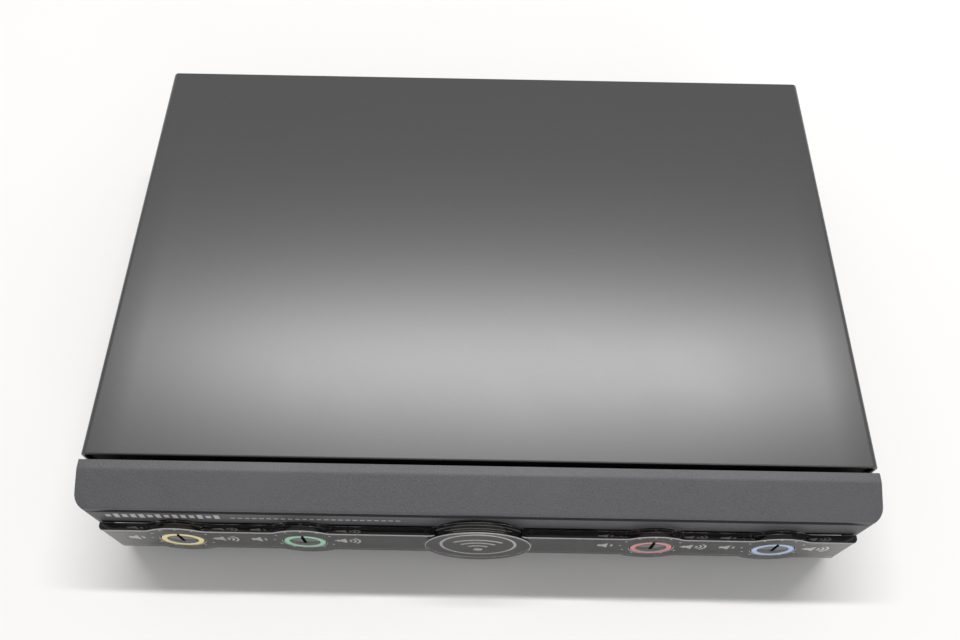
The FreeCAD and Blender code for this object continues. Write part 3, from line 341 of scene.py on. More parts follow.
# %% The palette of this object
cover_paint = finish("matte cover paint", (0.037, 0.036, 0.037), 0.365, grain=0.3, cells=2600, coarse=0.25,
                     worn=(0.042, 0.041, 0.042), worn_roughness=0.34, patches=14, bump_depth=0.00003,
                     specular=1.0, speckle=0.08)
bezel_plastic = finish("spark textured plastic", (0.072, 0.071, 0.077), 0.55, grain=0.9, cells=2700,
                       coarse=0.1, specular=0.7, worn=(0.082, 0.081, 0.087), worn_roughness=0.5, patches=25,
                       bump_depth=0.0001, speckle=0.2)
# Black paint, set far darker than the cover's: the extra depth is painted shade for the gap under the
# cover's front edge.
chassis_paint_and_gap_shade = finish("black chassis paint with painted gap shade", (0.012, 0.012, 0.012), 0.6, grain=0.3, cells=2600)
panel_paint = finish("rear panel paint", (0.024, 0.024, 0.025), 0.48, grain=0.4, cells=2800)
smoked_acrylic = clear_acrylic("smoked acrylic", (0.86, 0.84, 0.84), (0.06, 0.055, 0.055), 0.03)
film_ink = finish("dark window film", (0.010, 0.009, 0.009), 0.5, grain=0.1, cells=1500, specular=0.3)
white_ink = finish("white ink", (0.82, 0.81, 0.80), 0.5, grain=0.1, cells=4000)
grey_ink = finish("grey ink", (0.88, 0.86, 0.85), 0.5, grain=0.1, cells=4000)
print_ink = finish("light grey print", (0.46, 0.45, 0.45), 0.55, grain=0.1, cells=4000)
# Opaque pale grey for the window's front chamfers: a painted highlight for their bright line.
chamfer_highlight_grey = finish("pale grey painted chamfer highlight", (0.36, 0.35, 0.35), 0.45, grain=0.1, cells=3000)
gloss_black = finish("polished black cap", (0.012, 0.012, 0.012), 0.12, grain=0.05, cells=1200, coat=0.3)
COLLARS = {"yellow": (0.92, 0.78, 0.38), "green": (0.34, 0.68, 0.46), "red": (0.64, 0.26, 0.26),
           "blue": (0.46, 0.59, 0.86)}
collar_plastic = {channel: finish(f"{channel} collar", colour, 0.34, grain=0.12, cells=2600)
                  for channel, colour in COLLARS.items()}
rubber = finish("moulded rubber", (0.028, 0.028, 0.028), 0.75, grain=0.5, cells=1800)
bright_steel = finish("zinc plated screw", (0.62, 0.62, 0.63), 0.28, grain=0.1, cells=1500, metallic=1.0)
black_steel = finish("black oxide screw", (0.03, 0.03, 0.032), 0.4, grain=0.15, cells=1500, metallic=0.6)
nickel = finish("nickel plating", (0.66, 0.64, 0.60), 0.2, grain=0.06, cells=900, metallic=1.0)
brass = finish("machined brass", (0.72, 0.52, 0.24), 0.3, grain=0.1, cells=1200, metallic=1.0)
turned_aluminium = finish("turned aluminium", (0.74, 0.74, 0.75), 0.3, grain=0.1, cells=2000, metallic=1.0,
                          anisotropic=0.4)
tinned_sheet = finish("tinned sheet", (0.68, 0.69, 0.70), 0.33, grain=0.1, cells=500, metallic=1.0)
black_anodised = finish("black anodised aluminium", (0.04, 0.04, 0.042), 0.4, grain=0.2, metallic=0.8)
black_moulding = finish("black moulding", (0.022, 0.022, 0.023), 0.42, grain=0.3, cells=2200)
solder_mask = finish("solder mask", (0.02, 0.14, 0.06), 0.3, grain=0.2, cells=700, worn=(0.03, 0.2, 0.09))
chip_plastic = finish("chip package", (0.028, 0.028, 0.03), 0.5, grain=0.4, cells=3000)
can_sleeve = finish("capacitor sleeve", (0.03, 0.04, 0.13), 0.25, grain=0.05)
pot_plastic = finish("potentiometer case", (0.09, 0.16, 0.12), 0.4, grain=0.2)
sensor_plastic = finish("infrared pass plastic", (0.03, 0.008, 0.02), 0.1, grain=0.03, coat=0.4)
lamp_plastic = finish("lamp lens", (0.72, 0.74, 0.70), 0.12, grain=0.03)
ribbon_plastic = finish("ribbon cable", (0.48, 0.48, 0.50), 0.45, grain=0.3, cells=1500)
print("finishes:", len(bpy.data.materials))

# %% [markdown]
# ## The folded cover
# The real cover is one steel sheet bent down at both sides. Its section is a thin rounded rectangle
# (the sheet's thickness by the cover's depth), and that section is carried along the line of the fold:
# up one side, round the bend, across the top and down the other side.

# %% Top cover
cover_low, cover_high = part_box("top_cover")
SHEET = 1.0 * MM
COVER_BEND = 1.8 * MM
SHEET_EDGE = 0.3 * MM


def fold_line(half_width, top, bottom, radius, turns=9, across=23):
    """Middle line of the fold and its outward normals, from the left edge to the right edge."""
    inner = half_width - radius
    left, right = (np.radians(np.linspace(start, start - 90, turns)) for start in (180, 90))
    bend_left, bend_right = (np.stack([np.cos(turn), np.sin(turn)], axis=1) for turn in (left, right))
    flat = np.stack([np.linspace(-inner, inner, across + 2)[1:-1], np.full(across, top)], axis=1)
    line = np.concatenate([[[-half_width, bottom]], radius * bend_left + [-inner, top - radius], flat,
                           radius * bend_right + [inner, top - radius], [[half_width, bottom]]])
    normals = np.concatenate([[[-1, 0]], bend_left, np.tile([[0, 1]], (across, 1)), bend_right, [[1, 0]]])
    return line, normals


def sheet_section(thickness, low_y, high_y, edge, steps=4):
    """Rounded rectangle of (offset from the middle line, y): the sheet's cut section."""
    half = thickness / 2
    quarters = ((half - edge, high_y - edge, 0), (-half + edge, high_y - edge, 90),
                (-half + edge, low_y + edge, 180), (half - edge, low_y + edge, 270))
    return np.concatenate([arc((a, y), edge, turn, turn + 90, steps) for a, y, turn in quarters])


def carry_sheet(line, normals, section):
    """point(i, k) = line(i) + normal(i) * offset(k), at the section's y(k)."""
    offset, along = section[:, 0], section[:, 1]
    x = line[:, :1] + normals[:, :1] * offset
    z = line[:, 1:] + normals[:, 1:] * offset
    y = np.tile(along, (len(line), 1))
    return np.stack([x, y, z], axis=2)


def make_cover():
    half = cover_high.x - SHEET / 2
    line, normals = fold_line(half, cover_high.z - SHEET / 2, cover_low.z, COVER_BEND - SHEET / 2)
    points = carry_sheet(line, normals, sheet_section(SHEET, cover_low.y, cover_high.y, SHEET_EDGE))
    rows, columns = points.shape[:2]
    last = (rows - 1) * columns
    faces = grid_faces(rows, columns, wrap_columns=True)
    faces += [list(range(columns)), list(range(last, last + columns))]
    piece = Piece("folded_cover").add(points, faces)
    piece.build("casing", cover_paint, "cover_paint", ["top_cover"], smooth_angle=40)
    print("cover:", rows * columns, "points")


make_cover()

# %% [markdown]
# ## The front moulding
# On the real unit this is one injection moulding: a flat strip beside the cover, a slope down to a brow,
# a fine shadow groove, a face that leans out to the window, and an undercut. It could be lofted along
# its depth. Here its side outline is carried across the width instead, because that keeps the groove
# crisp: each point of the outline runs out to the plan outline, whose front corners are round.

# %% Front moulding outlines
bezel_low, bezel_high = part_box("front_bezel")
window_low, window_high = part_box("front_window")
film_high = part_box("window_print_film")[1]
BEZEL_GAP = 1.25 * MM
BEZEL_STRIP = 2.4 * MM
BEZEL_WALL = 2.2 * MM
BROW_BACK = 0.7 * MM          # brow behind the upright face
BROW_DROP = 3.55 * MM         # brow below the top strip
BROW_RADIUS = 0.5 * MM
GROOVE_START = 0.25 * MM      # shadow groove below the brow
GROOVE_TALL = 1.9 * MM
GROOVE_IN = 0.7 * MM
GROOVE_WALL = 0.02 * MM
LEAN_ROWS = np.array([3.0, 4.5, 6.5]) * MM
GROOVE_FADE = 4.0 * MM        # it runs out this far from the corner
PLAN_CORNER = 4.5 * MM
LIP_RUN = 3.5 * MM            # depth of the undercut
LIP_RISE = 5.4 * MM           # rise of the undercut
FACE_MARGIN = 0.6 * MM
SIDE_EDGE = 0.5 * MM          # rounding between the top and the sides
BEND_STEPS = 7
WINDOW_HALF = 8.2 * MM
face_y = film_high.y
bezel_rear = cover_low.y - BEZEL_GAP
strip_z = bezel_high.z
brow_z = strip_z - BROW_DROP
window_mid_z = (window_low.z + window_high.z) / 2
face_top_z = window_mid_z + WINDOW_HALF + FACE_MARGIN
lip_z = bezel_low.z
bezel_half = bezel_high.x
knob_radius = (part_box("knob_ring_red")[1].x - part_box("knob_ring_red")[0].x) / 2


def top_outline(shift):
    """(y, z) from the rear edge over strip, slope and brow down to the face, moved in by the shift."""
    rear, knee = (bezel_rear, strip_z - shift), (bezel_rear - BEZEL_STRIP, strip_z - shift)
    brow = (face_y + BROW_BACK + shift * 0.9, brow_z - shift * 0.8)
    foot = (face_y + shift, face_top_z)
    bent = rounded_steps([rear, knee, brow, foot], BROW_RADIUS, BEND_STEPS)
    upper, lower = bent[:BEND_STEPS + 1], bent[BEND_STEPS + 1:]
    share = np.sin(np.linspace(0, math.pi / 2, 26))[1:-1, None]
    slope = upper[-1] + (lower[0] - upper[-1]) * share
    groove = GROOVE_START + np.array([0, GROOVE_WALL, GROOVE_TALL - GROOVE_WALL, GROOVE_TALL])
    share = as_column(np.concatenate([groove, LEAN_ROWS])) / (lower[-2, 1] - lower[-1, 1])
    lean = lower[-2] + (lower[-1] - lower[-2]) * share
    return np.concatenate([upper, slope, lower[:-1], lean, lower[-1:]])


def side_outline(shift, rows=9):
    """Closed (y, z) outline, the groove's share at each point, and how much of the edge is rounded."""
    top = top_outline(shift)
    rise = np.clip(1 - (top[:, 0] - face_y - shift) / LIP_RUN, 0, 1)
    bottom = np.column_stack([top[:, 0], lip_z + shift + (LIP_RISE - shift * 0.7) * rise])
    share = np.linspace(0, 1, rows)[1:-1, None]
    front = top[-1] + (bottom[-1] - top[-1]) * share
    groove = np.zeros(len(top))
    groove[-7:-5] = 0.0 if shift else 1.0
    tilt = np.gradient(top[:, 0]) / (np.hypot(*np.gradient(top, axis=0).T) + 1e-12)
    outline = np.concatenate([top, front, bottom[::-1]])
    zeros = np.zeros(len(front))
    notch = np.concatenate([groove, zeros, np.zeros(len(top))])
    level = np.concatenate([np.abs(tilt), zeros, -(rise[::-1] == 0).astype(float)])
    return outline, notch, level, len(top)


def plan_half(y, shift):
    """Half width at depth y: straight sides that meet the face in quarter circles."""
    radius = PLAN_CORNER - shift
    into = np.clip(radius - (y - face_y - shift), 0, radius)
    return bezel_half - shift - radius + np.sqrt(radius ** 2 - into ** 2)


def carried_outline(shift, columns=61, turns=5):
    """point(s, k): the outline's point k at x = s * plan_half(y), with rounded ends and a fading groove."""
    outline, notch, level, top_count = side_outline(shift)
    y, z = outline.T
    edge = SIDE_EDGE * np.abs(level) * (0.0 if shift else 1.0)
    half = plan_half(y, shift)
    span = np.linspace(-1, 1, columns)[:, None]
    turn = np.radians(np.linspace(0, 90, turns + 1))[1:, None]
    x_mid, drop_mid = span * (half - edge), np.zeros((columns, len(y)))
    x_end, drop_end = half - edge + edge * np.sin(turn), edge * (1 - np.cos(turn))
    x = np.concatenate([-x_end[::-1], x_mid, x_end])
    drop = np.concatenate([drop_end[::-1], drop_mid, drop_end]) * np.sign(level)
    room = (half.min() - np.abs(x)) / GROOVE_FADE
    depth = y + GROOVE_IN * notch * np.clip(room, 0, 1)
    return np.stack([x, depth, z - drop], axis=2), top_count

# %% Front moulding with its openings and bosses
LAMP_PASSAGE = 1.85 * MM
KNOB_PASSAGE = 0.525 * MM     # gap about a knob
SENSOR_MARGIN = 1.5 * MM
BOSS_RADIUS = 2.8 * MM
BOSS_BORE = 1.55 * MM
BOSS_DEEP = 6.0 * MM
CHASSIS_BOSSES = [(29.2, 10.6), (92.0, 10.6)]    # (x, z) in mm on either side
BOARD_BOSSES = [(92.0, 17.3), (92.0, 30.3)]


def middle_of(node):
    """The (x, z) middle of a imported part."""
    low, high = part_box(node)
    return (low.x + high.x) / 2, (low.z + high.z) / 2


def knob_middle(channel):
    return np.array(middle_of(f"knob_cap_{channel}"))


def lamp_places():
    low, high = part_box("status_leds")
    return low.x + (high.z - low.z) / 2, high.x - (high.z - low.z) / 2


def face_openings():
    """Loops in (x, z) for the knobs, the status lamps and the infrared sensors."""
    loops = [circle_points(knob_middle(channel), knob_radius + KNOB_PASSAGE, 72) for channel in CHANNELS]
    loops += [circle_points((x, window_mid_z), LAMP_PASSAGE, 32) for x in lamp_places()]
    for side in ("left", "right"):
        low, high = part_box(f"infrared_sensor_{side}")
        left, right = low.x - SENSOR_MARGIN, high.x + SENSOR_MARGIN
        bottom, top = low.z - SENSOR_MARGIN, high.z + SENSOR_MARGIN
        loops.append(np.array([(left, bottom), (right, bottom), (right, top), (left, top)]))
    return loops


def boss_places():
    """(x, z, rear end) of the screw bosses: four reach the chassis, four carry the front board."""
    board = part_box("front_board")[0].y
    return [(side * x * MM, z * MM, stop) for side in (-1, 1)
            for bosses, stop in ((CHASSIS_BOSSES, bezel_high.y), (BOARD_BOSSES, board)) for x, z in bosses]


def add_shell(piece, shift, rows=9):
    """Carried outline with its two side walls; returns the indices of its front and rear loops."""
    skin, top_count = carried_outline(shift)
    columns, count = skin.shape[:2]
    first = piece.count
    piece.add(skin, grid_faces(columns, count))
    side_loops = []
    for end in (0, columns - 1):
        upper, lower = skin[end, :top_count], skin[end, count - top_count:][::-1]
        share = np.linspace(0, 1, rows)[None, :, None]
        wall = upper[:, None] * (1 - share) + lower[:, None] * share
        side_loops.append(piece.count)
        piece.add(wall, grid_faces(top_count, rows))
    corner = np.arange(columns) * count + first

    def loop_at(k_top, k_bottom, row):
        left, right = (start + row * rows + np.arange(rows) for start in side_loops)
        return np.concatenate([corner + k_top, right[1:-1], (corner + k_bottom)[::-1], left[1:-1][::-1]])

    front = loop_at(top_count - 1, count - top_count, top_count - 1)
    rear = loop_at(0, count - 1, 0)
    return front, rear


def without_doubles(points, index):
    """Drops points of a closed loop that repeat the one before."""
    keep = np.linalg.norm(points - np.roll(points, 1, axis=0), axis=1) > SAME_POINT
    return points[keep], index[keep]


def make_bezel():
    piece = Piece("front_moulding")
    fronts, rears = zip(*(add_shell(piece, shift) for shift in (0.0, BEZEL_WALL)))
    outer, inner = (rear.tolist() for rear in rears)
    piece.faces += [[outer[k - 1], outer[k], inner[k], inner[k - 1]] for k in range(len(outer))]
    openings = face_openings()
    starts = []
    for loop in openings:
        starts.append(piece.count)
        walls = [np.stack(upright(loop, np.full(len(loop), y)), axis=1)
                 for y in (face_y, face_y + BEZEL_WALL)]
        piece.add(np.concatenate(walls), grid_faces(2, len(loop), wrap_columns=True))
    points = np.concatenate(piece.points)
    for layer, front in enumerate(fronts):
        rim, index = without_doubles(points[front][:, [0, 2]], front)
        order = [start + layer * len(loop) + np.arange(len(loop)) for start, loop in zip(starts, openings)]
        piece.faces += flat_faces([rim] + openings, [index] + order)
    start = face_y + BEZEL_WALL - 0.5 * MM       # a boss starts inside the wall
    for x, z, stop in boss_places():
        y = as_column([start, start, stop, stop, stop - BOSS_DEEP, stop - BOSS_DEEP])
        turned(piece, y, as_column([0, BOSS_RADIUS, BOSS_RADIUS, BOSS_BORE, BOSS_BORE, 0]), (x, z), 32)
    piece.build("casing", bezel_plastic, "bezel_plastic", ["front_bezel"], smooth_angle=35)
    print("front moulding:", piece.count, "points")


make_bezel()

# %% [markdown]
# ## The smoked window
# The window is one polished strip with a round ear about each knob and a thicker round disc in the
# middle. Its outline is straight lines and arcs: every ear meets the strip in a small hollow arc that is
# tangent to both. The outline is carried through the thickness with fine polished edges.

# %% Window outline
strip_half_long = window_high.x
EAR_RADIUS = 11.0 * MM
EAR_BLEND = 2.5 * MM
STRIP_END = 0.3 * MM
END_ROUND = 1.8 * MM          # plan radius of the two upright front edges
DISC_PROUD = 0.6 * MM
POLISHED_EDGE = 0.22 * MM
EAR_PASSAGE = 0.35 * MM       # gap about a knob
FILM_INSET = 0.5 * MM
FILM_SUNK = 0.04 * MM         # into the back of the window
JOIN = 0.02 * MM              # between the strip's halves and the disc
disc_radius = (window_high.z - window_low.z) / 2


def round_swell(middle, radius, half_height, blend):
    """Upper edge over a round ear, from left to right: hollow arc, ear, hollow arc."""
    reach = math.sqrt((radius + blend) ** 2 - (half_height + blend) ** 2)
    tilt = math.degrees(math.atan2(half_height + blend, reach))
    left = arc((middle - reach, half_height + blend), blend, -90, -tilt, 8)
    crown = arc((middle, 0), radius, 180 - tilt, tilt, 40)
    right = arc((middle + reach, half_height + blend), blend, 180 + tilt, 270, 8)
    return left, crown, right


def half_strip_outline(inset=0.0):
    """Counter-clockwise outline of the right half of the strip, up to the centre disc's rim."""
    half = WINDOW_HALF - inset
    blend = EAR_BLEND + inset
    rim = disc_radius + JOIN
    disc_crown, disc_right = round_swell(0.0, rim, half, blend)[1:]
    tilt = math.degrees(math.atan2(disc_crown[-1][1], disc_crown[-1][0]))
    upper = [disc_right]
    for channel in ("red", "blue"):
        upper += list(round_swell(knob_middle(channel)[0], EAR_RADIUS - inset, half, blend))
    end = strip_half_long - inset
    upper.append(arc((end - STRIP_END, half - STRIP_END), STRIP_END, 90, 0, 6))
    upper = np.concatenate(upper)
    rim_arc = arc((0, 0), rim, -tilt, tilt, 40)[1:-1]
    loop = np.concatenate([upper * [1, -1], upper[::-1], rim_arc[::-1]])
    return without_doubles(loop, np.arange(len(loop)))[0]


def add_strip(piece, levels, inset=0.0, to_space=upright):
    """Both halves of the strip, each with openings for its two knobs."""
    right = half_strip_outline(inset)
    left = (right * [-1, 1])[::-1]
    for outline, channels in ((right, ("red", "blue")), (left, ("yellow", "green"))):
        holes = [circle_points(knob_middle(channel), knob_radius + EAR_PASSAGE, 72) for channel in channels]
        slab(piece, outline + [0, window_mid_z], holes, levels, to_space)


def polished_levels(back, front, edge):
    """Through the thickness from the back to the front, with a chamfer at both rims."""
    return [(back, edge), (back - edge * 0.3, edge * 0.3), (back - edge, 0.0), (front + edge, 0.0),
            (front + edge * 0.3, edge * 0.3), (front, edge)]

# %% Window, centre disc and the film behind it
window_back = window_high.y
strip_front = window_low.y + DISC_PROUD
SIDEWAYS, FACING = 0.3, 0.97  # how far a normal points forward on an edge and on the face


def round_ends(flat, depth):
    """x is held back to the quarter circle that rounds the strip's upright front edges in plan."""
    into = np.clip(END_ROUND - (depth - strip_front), 0, END_ROUND)
    reach = strip_half_long - END_ROUND + np.sqrt(END_ROUND ** 2 - into ** 2)
    return np.clip(flat[:, 0], -reach, reach), depth, flat[:, 1]


def strip_levels():
    """Through the strip's thickness, close together where the ends turn round."""
    levels = polished_levels(window_back, strip_front, POLISHED_EDGE)
    turns = strip_front + END_ROUND * (1 - np.cos(np.radians(np.linspace(90, 30, 7))))
    return levels[:3] + [(float(depth), 0.0) for depth in turns if depth > levels[3][0]] + levels[3:]


def mark_edges(piece):
    """Faces that look sideways, and the rounded ends, are the sheet's edges; the other front chamfers
    get an opaque pale grey, a painted highlight that stands for the bright line along them."""
    polygons = piece.data.polygons
    normals, centres = np.empty((2, len(polygons) * 3))
    polygons.foreach_get("normal", normals)
    polygons.foreach_get("center", centres)
    forward = -normals[1::3]
    ends = np.abs(centres[::3]) > strip_half_long - END_ROUND
    sideways = (np.abs(forward) < SIDEWAYS) | (ends & (forward < FACING))
    piece.data.attributes.new("edge", "FLOAT", "FACE").data.foreach_set("value", sideways.astype(float))
    piece.data.materials.append(chamfer_highlight_grey)
    highlight_chamfers = (forward > SIDEWAYS) & (forward < FACING) & ~ends
    polygons.foreach_set("material_index", highlight_chamfers.astype(int))


def make_window():
    piece = Piece("smoked_window")
    add_strip(piece, strip_levels(), to_space=round_ends)
    round_slab(piece, (0, window_mid_z), disc_radius,
               polished_levels(window_back, window_low.y, POLISHED_EDGE), count=128)
    mark_edges(piece.build("casing", smoked_acrylic, "window_acrylic", ["front_window"], smooth_angle=20))
    print("window:", piece.count, "points")


def make_film():
    """The film stands a little inside the window, so that the printing has no air in front of it."""
    piece = Piece("window_film")
    levels = [(film_high.y, 0.0), (window_back - FILM_SUNK, 0.0)]
    add_strip(piece, levels, FILM_INSET)
    round_slab(piece, (0, window_mid_z), disc_radius - FILM_INSET, levels)
    piece.build("casing", film_ink, "film_black", ["window_print_film"])


make_window()
make_film()

# %% [markdown]
# ## Printed symbols
# The marks are printed on the back of the window: a ring of level dots and a quiet and a loud symbol
# about each knob, and a plain emblem of radiating arcs in the disc. Each is a very thin slab.

# %% Marks behind the window
INK_THICK = 0.03 * MM
INK_LEVELS = [(window_back - 0.03 * MM, 0.0), (window_back - 0.03 * MM - INK_THICK, 0.0)]
DOTS = 11
DOT_RING = 8.4 * MM
DOT_RADIUS = 0.36 * MM
SYMBOL_REACH = 11.7 * MM
SYMBOL_SIZE = 5.4 * MM
SYMBOL_SHIFT = 0.3 * MM       # to the left, which centres the cone and its waves
EMBLEM_RING = 10.2 * MM
EMBLEM_LINE = 0.8 * MM
EMBLEM_SOURCE = 5.2 * MM      # the dot below the disc's middle
EMBLEM_DOT = 1.3 * MM
EMBLEM_WAVES = np.array([4.0, 7.0, 10.0]) * MM
WAVE_LINE = 0.95 * MM


def band(centre, radius, width, start, stop, count=32):
    """Outline of a bent stroke with square ends."""
    outside = arc(centre, radius + width / 2, start, stop, count)
    inside = arc(centre, radius - width / 2, stop, start, count)
    return np.concatenate([outside, inside])


def speaker_symbol(centre, size, waves):
    """A loudspeaker cone with the given number of waves to its right."""
    x, z = centre
    cone_shape = np.array([(-0.5, -0.18), (-0.28, -0.18), (0.0, -0.42), (0.0, 0.42), (-0.28, 0.18),
                           (-0.5, 0.18)]) * size + [x, z]
    strokes = [band((x, z), (0.24 + 0.22 * wave) * size, 0.11 * size, -48, 48, 12) for wave in range(waves)]
    return [cone_shape] + strokes


def make_window_marks():
    piece = Piece("window_marks")
    for channel in CHANNELS:
        middle = knob_middle(channel)
        for angle in np.radians(np.linspace(-60, 240, DOTS)):
            place = middle + DOT_RING * np.array([math.cos(angle), math.sin(angle)])
            round_slab(piece, place, DOT_RADIUS, INK_LEVELS, count=16)
        for side, waves in ((-1, 1), (1, 3)):
            centre = middle + [side * SYMBOL_REACH - SYMBOL_SHIFT, 0]
            for outline in speaker_symbol(centre, SYMBOL_SIZE, waves):
                slab(piece, outline, [], INK_LEVELS)
    piece.build("casing", grey_ink, "film_black")

    emblem = Piece("disc_emblem")
    middle = np.array([0.0, window_mid_z])
    round_slab(emblem, middle, EMBLEM_RING + EMBLEM_LINE / 2, INK_LEVELS,
               hole=EMBLEM_RING - EMBLEM_LINE / 2)
    source = middle - [0, EMBLEM_SOURCE]
    round_slab(emblem, source, EMBLEM_DOT, INK_LEVELS, count=32)
    for radius in EMBLEM_WAVES:
        slab(emblem, band(source, radius, WAVE_LINE, 48, 132), [], INK_LEVELS)
    emblem.build("casing", white_ink, "film_black")
    print("window marks:", len(CHANNELS) * (DOTS + 2), "and an emblem")


make_window_marks()

# %% [markdown]
# ## Print above the window
# The face above the window carries a light print at its left. Plain bars of a level scale and a fine
# dashed rule stand there: each bar is a thin slab that lies on the leaning face.

# %% Level bars and dashed rule
PRINT_THICK = 0.02 * MM
BAR_START, BAR_PITCH, BAR_WIDE, BAR_COUNT = -98.4 * MM, 2.2 * MM, 1.35 * MM, 14
RULE_START, RULE_PITCH, RULE_WIDE, RULE_COUNT = -65.6 * MM, 1.9 * MM, 1.2 * MM, 24
RULE_TALL = 0.55 * MM
BAR_Z, RULE_Z = 34.6 * MM, 34.1 * MM


def on_leaning_face(flat, depth):
    """y follows the line from the window's top edge up to the brow; depth is proud of that face."""
    lean = BROW_BACK / (brow_z - face_top_z)
    return flat[:, 0], face_y + (flat[:, 1] - face_top_z) * lean - depth, flat[:, 1]


def box_outline(x, z, wide, tall):
    low, high = z - tall / 2, z + tall / 2
    return np.array([(x, low), (x + wide, low), (x + wide, high), (x, high)])


def make_front_print():
    piece = Piece("front_print")
    levels = [(-0.01 * MM, 0.0), (PRINT_THICK, 0.0)]
    bars = [box_outline(BAR_START + step * BAR_PITCH, BAR_Z, BAR_WIDE,
                        (1.5 + 1.1 * abs(math.sin(1.3 * step))) * MM) for step in range(BAR_COUNT)]
    rule = [box_outline(RULE_START + step * RULE_PITCH, RULE_Z, RULE_WIDE, RULE_TALL)
            for step in range(RULE_COUNT)]
    for outline in bars + rule:
        slab(piece, outline, [], levels, on_leaning_face)
    piece.build("casing", print_ink, "bezel_plastic")
    print("front print:", len(bars + rule), "bars")


make_front_print()

# %% [markdown]
# ## The level knobs
# A knob is a coloured collar about a polished black cap, flush with the window, and a pointer groove
# runs from the rim past the middle. Both are slabs in two layers: the front layer is open at the groove.

# %% Knobs
GROOVE_HALF = 0.45 * MM
GROOVE_DEEP = 0.8 * MM
GROOVE_TAIL = 1.7 * MM
CAP_RADIUS = 4.2 * MM
SOFT_EDGE = 0.14 * MM
SHAFT_PASSAGE = 3.02 * MM
FIT = 0.01 * MM               # keeps a ring and its disc from sharing a wall


def slotted(radius, half, count=72):
    """Circle from one side of a slot at its top round to the other, counter-clockwise."""
    edge = math.degrees(math.asin(half / radius))
    return arc((0, 0), radius, 90 + edge, 450 - edge, count)


def notched_circle(radius, tail, half):
    """Disc outline with a slot from the top rim down to the tail, its end rounded."""
    return np.concatenate([slotted(radius, half), arc((0, tail + half), half, 0, -180, 8)])


def notched_ring(radius, inner, half):
    return np.concatenate([slotted(radius, half), slotted(inner, half)[::-1]])


def make_knob(channel):
    middle = knob_middle(channel)
    low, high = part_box(f"knob_ring_{channel}")
    cap_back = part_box(f"knob_cap_{channel}")[1].y
    front, floor_y = low.y, low.y + GROOVE_DEEP
    back_layer = [(high.y, 0.0), (floor_y, 0.0)]
    front_layer = [(floor_y, 0.0), (front + SOFT_EDGE, 0.0), (front + SOFT_EDGE * 0.3, SOFT_EDGE * 0.3),
                   (front, SOFT_EDGE)]
    collar = Piece(f"collar_{channel}")
    round_slab(collar, middle, knob_radius, back_layer, hole=CAP_RADIUS)
    slab(collar, notched_ring(knob_radius, CAP_RADIUS + FIT, GROOVE_HALF) + middle, [], front_layer)
    collar.build(f"knob_{channel}", collar_plastic[channel], f"ring_{channel}", [f"knob_ring_{channel}"])
    cap = Piece(f"cap_{channel}")
    round_slab(cap, middle, knob_radius, [(cap_back, 0.0), (high.y, 0.0)], hole=SHAFT_PASSAGE,
               hole_count=48)
    round_slab(cap, middle, CAP_RADIUS - 2 * FIT, back_layer)
    slab(cap, notched_circle(CAP_RADIUS - 2 * FIT, -GROOVE_TAIL, GROOVE_HALF) + middle, [], front_layer)
    cap.build(f"knob_{channel}", gloss_black, "cap_black", [f"knob_cap_{channel}"])


for knob_channel in CHANNELS:
    make_knob(knob_channel)
print("knobs:", len(CHANNELS))

# %% [markdown]
# ## Nuts, sockets and screws at the back
# On the real unit the sockets are turned parts, held by chamfered hexagon nuts. All of them are surfaces
# round the Y axis: rows follow the outline along the axis and columns go round, and the radius may also
# depend on the angle. That gives the nut its six flats and the socket its screw thread.

# %% Hexagon nuts
NUT_CORNER = 7.0 * MM
NUT_THICK = 2.2 * MM
NUT_CHAMFER = 0.55 * MM
NUT_CONE = 0.985              # the chamfer starts at this share of the flats' distance
BORE_FLARE = 0.3 * MM
rear_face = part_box("rear_panel")[1].y


def add_nut(piece, x, z, hole):
    """The radius is the smaller of the hexagon's, flat / cos(angle from its middle), and a cone's."""
    angle = np.linspace(0, 2 * math.pi, 96, endpoint=False)
    flat = NUT_CORNER * math.cos(math.pi / 6)
    hexagon = flat / np.cos(np.mod(angle, math.pi / 3) - math.pi / 6)
    low_chamfer = np.linspace(0, NUT_CHAMFER, 5)
    level = np.concatenate([low_chamfer, low_chamfer + NUT_THICK - NUT_CHAMFER])
    from_face = as_column(np.minimum(level, NUT_THICK - level))
    cone = flat * NUT_CONE + from_face * (NUT_CORNER - flat * NUT_CONE) / NUT_CHAMFER
    outside = np.minimum(hexagon, cone + 1e-6)
    inside = np.broadcast_to(as_column([hole + BORE_FLARE, hole]), (2, len(angle)))
    y = rear_face + np.concatenate([level, [NUT_THICK, 0.0]])
    turned(piece, as_column(y), np.concatenate([outside, inside]), (x, z), ring=True)


connector_z = middle_of("sensor_socket_a")[1]
jack_x = [middle_of(f"output_jack_{channel}")[0] for channel in CHANNELS]
socket_x = [middle_of(f"sensor_socket_{name}")[0] for name in "ab"]
for piece_name, places, hole, node in (("jack_hex_nuts", jack_x, 4.62 * MM, "jack_nuts"),
                                       ("socket_hex_nuts", socket_x, 4.52 * MM, "socket_nuts")):
    nuts = Piece(piece_name)
    for x in places:
        add_nut(nuts, x, connector_z, hole)
    nuts.build("casing", nickel, "nickel", [node], smooth_angle=25)
    print(piece_name, len(places))

# %% Threaded sensor sockets
SHANK, FLANGE = 4.5 * MM, 7.4 * MM
FLANGE_AT = 6.5 * MM, 8.0 * MM
THREAD_PITCH = 0.8 * MM
THREAD_DEEP = 0.3 * MM
THREAD_FADE = 0.8 * MM
BARREL = 4.75 * MM
RIM_INSIDE = 3.6 * MM
RIM_OUTSIDE = 4.45 * MM
RIM_TALL = 0.35 * MM
MOUTH_DEEP = 0.5 * MM
CONTACT_HOLE = 1.1 * MM
CONTACT_DEEP = 8.0 * MM
JACK_OUTSIDE, JACK_BORE = 4.0 * MM, 3.16 * MM


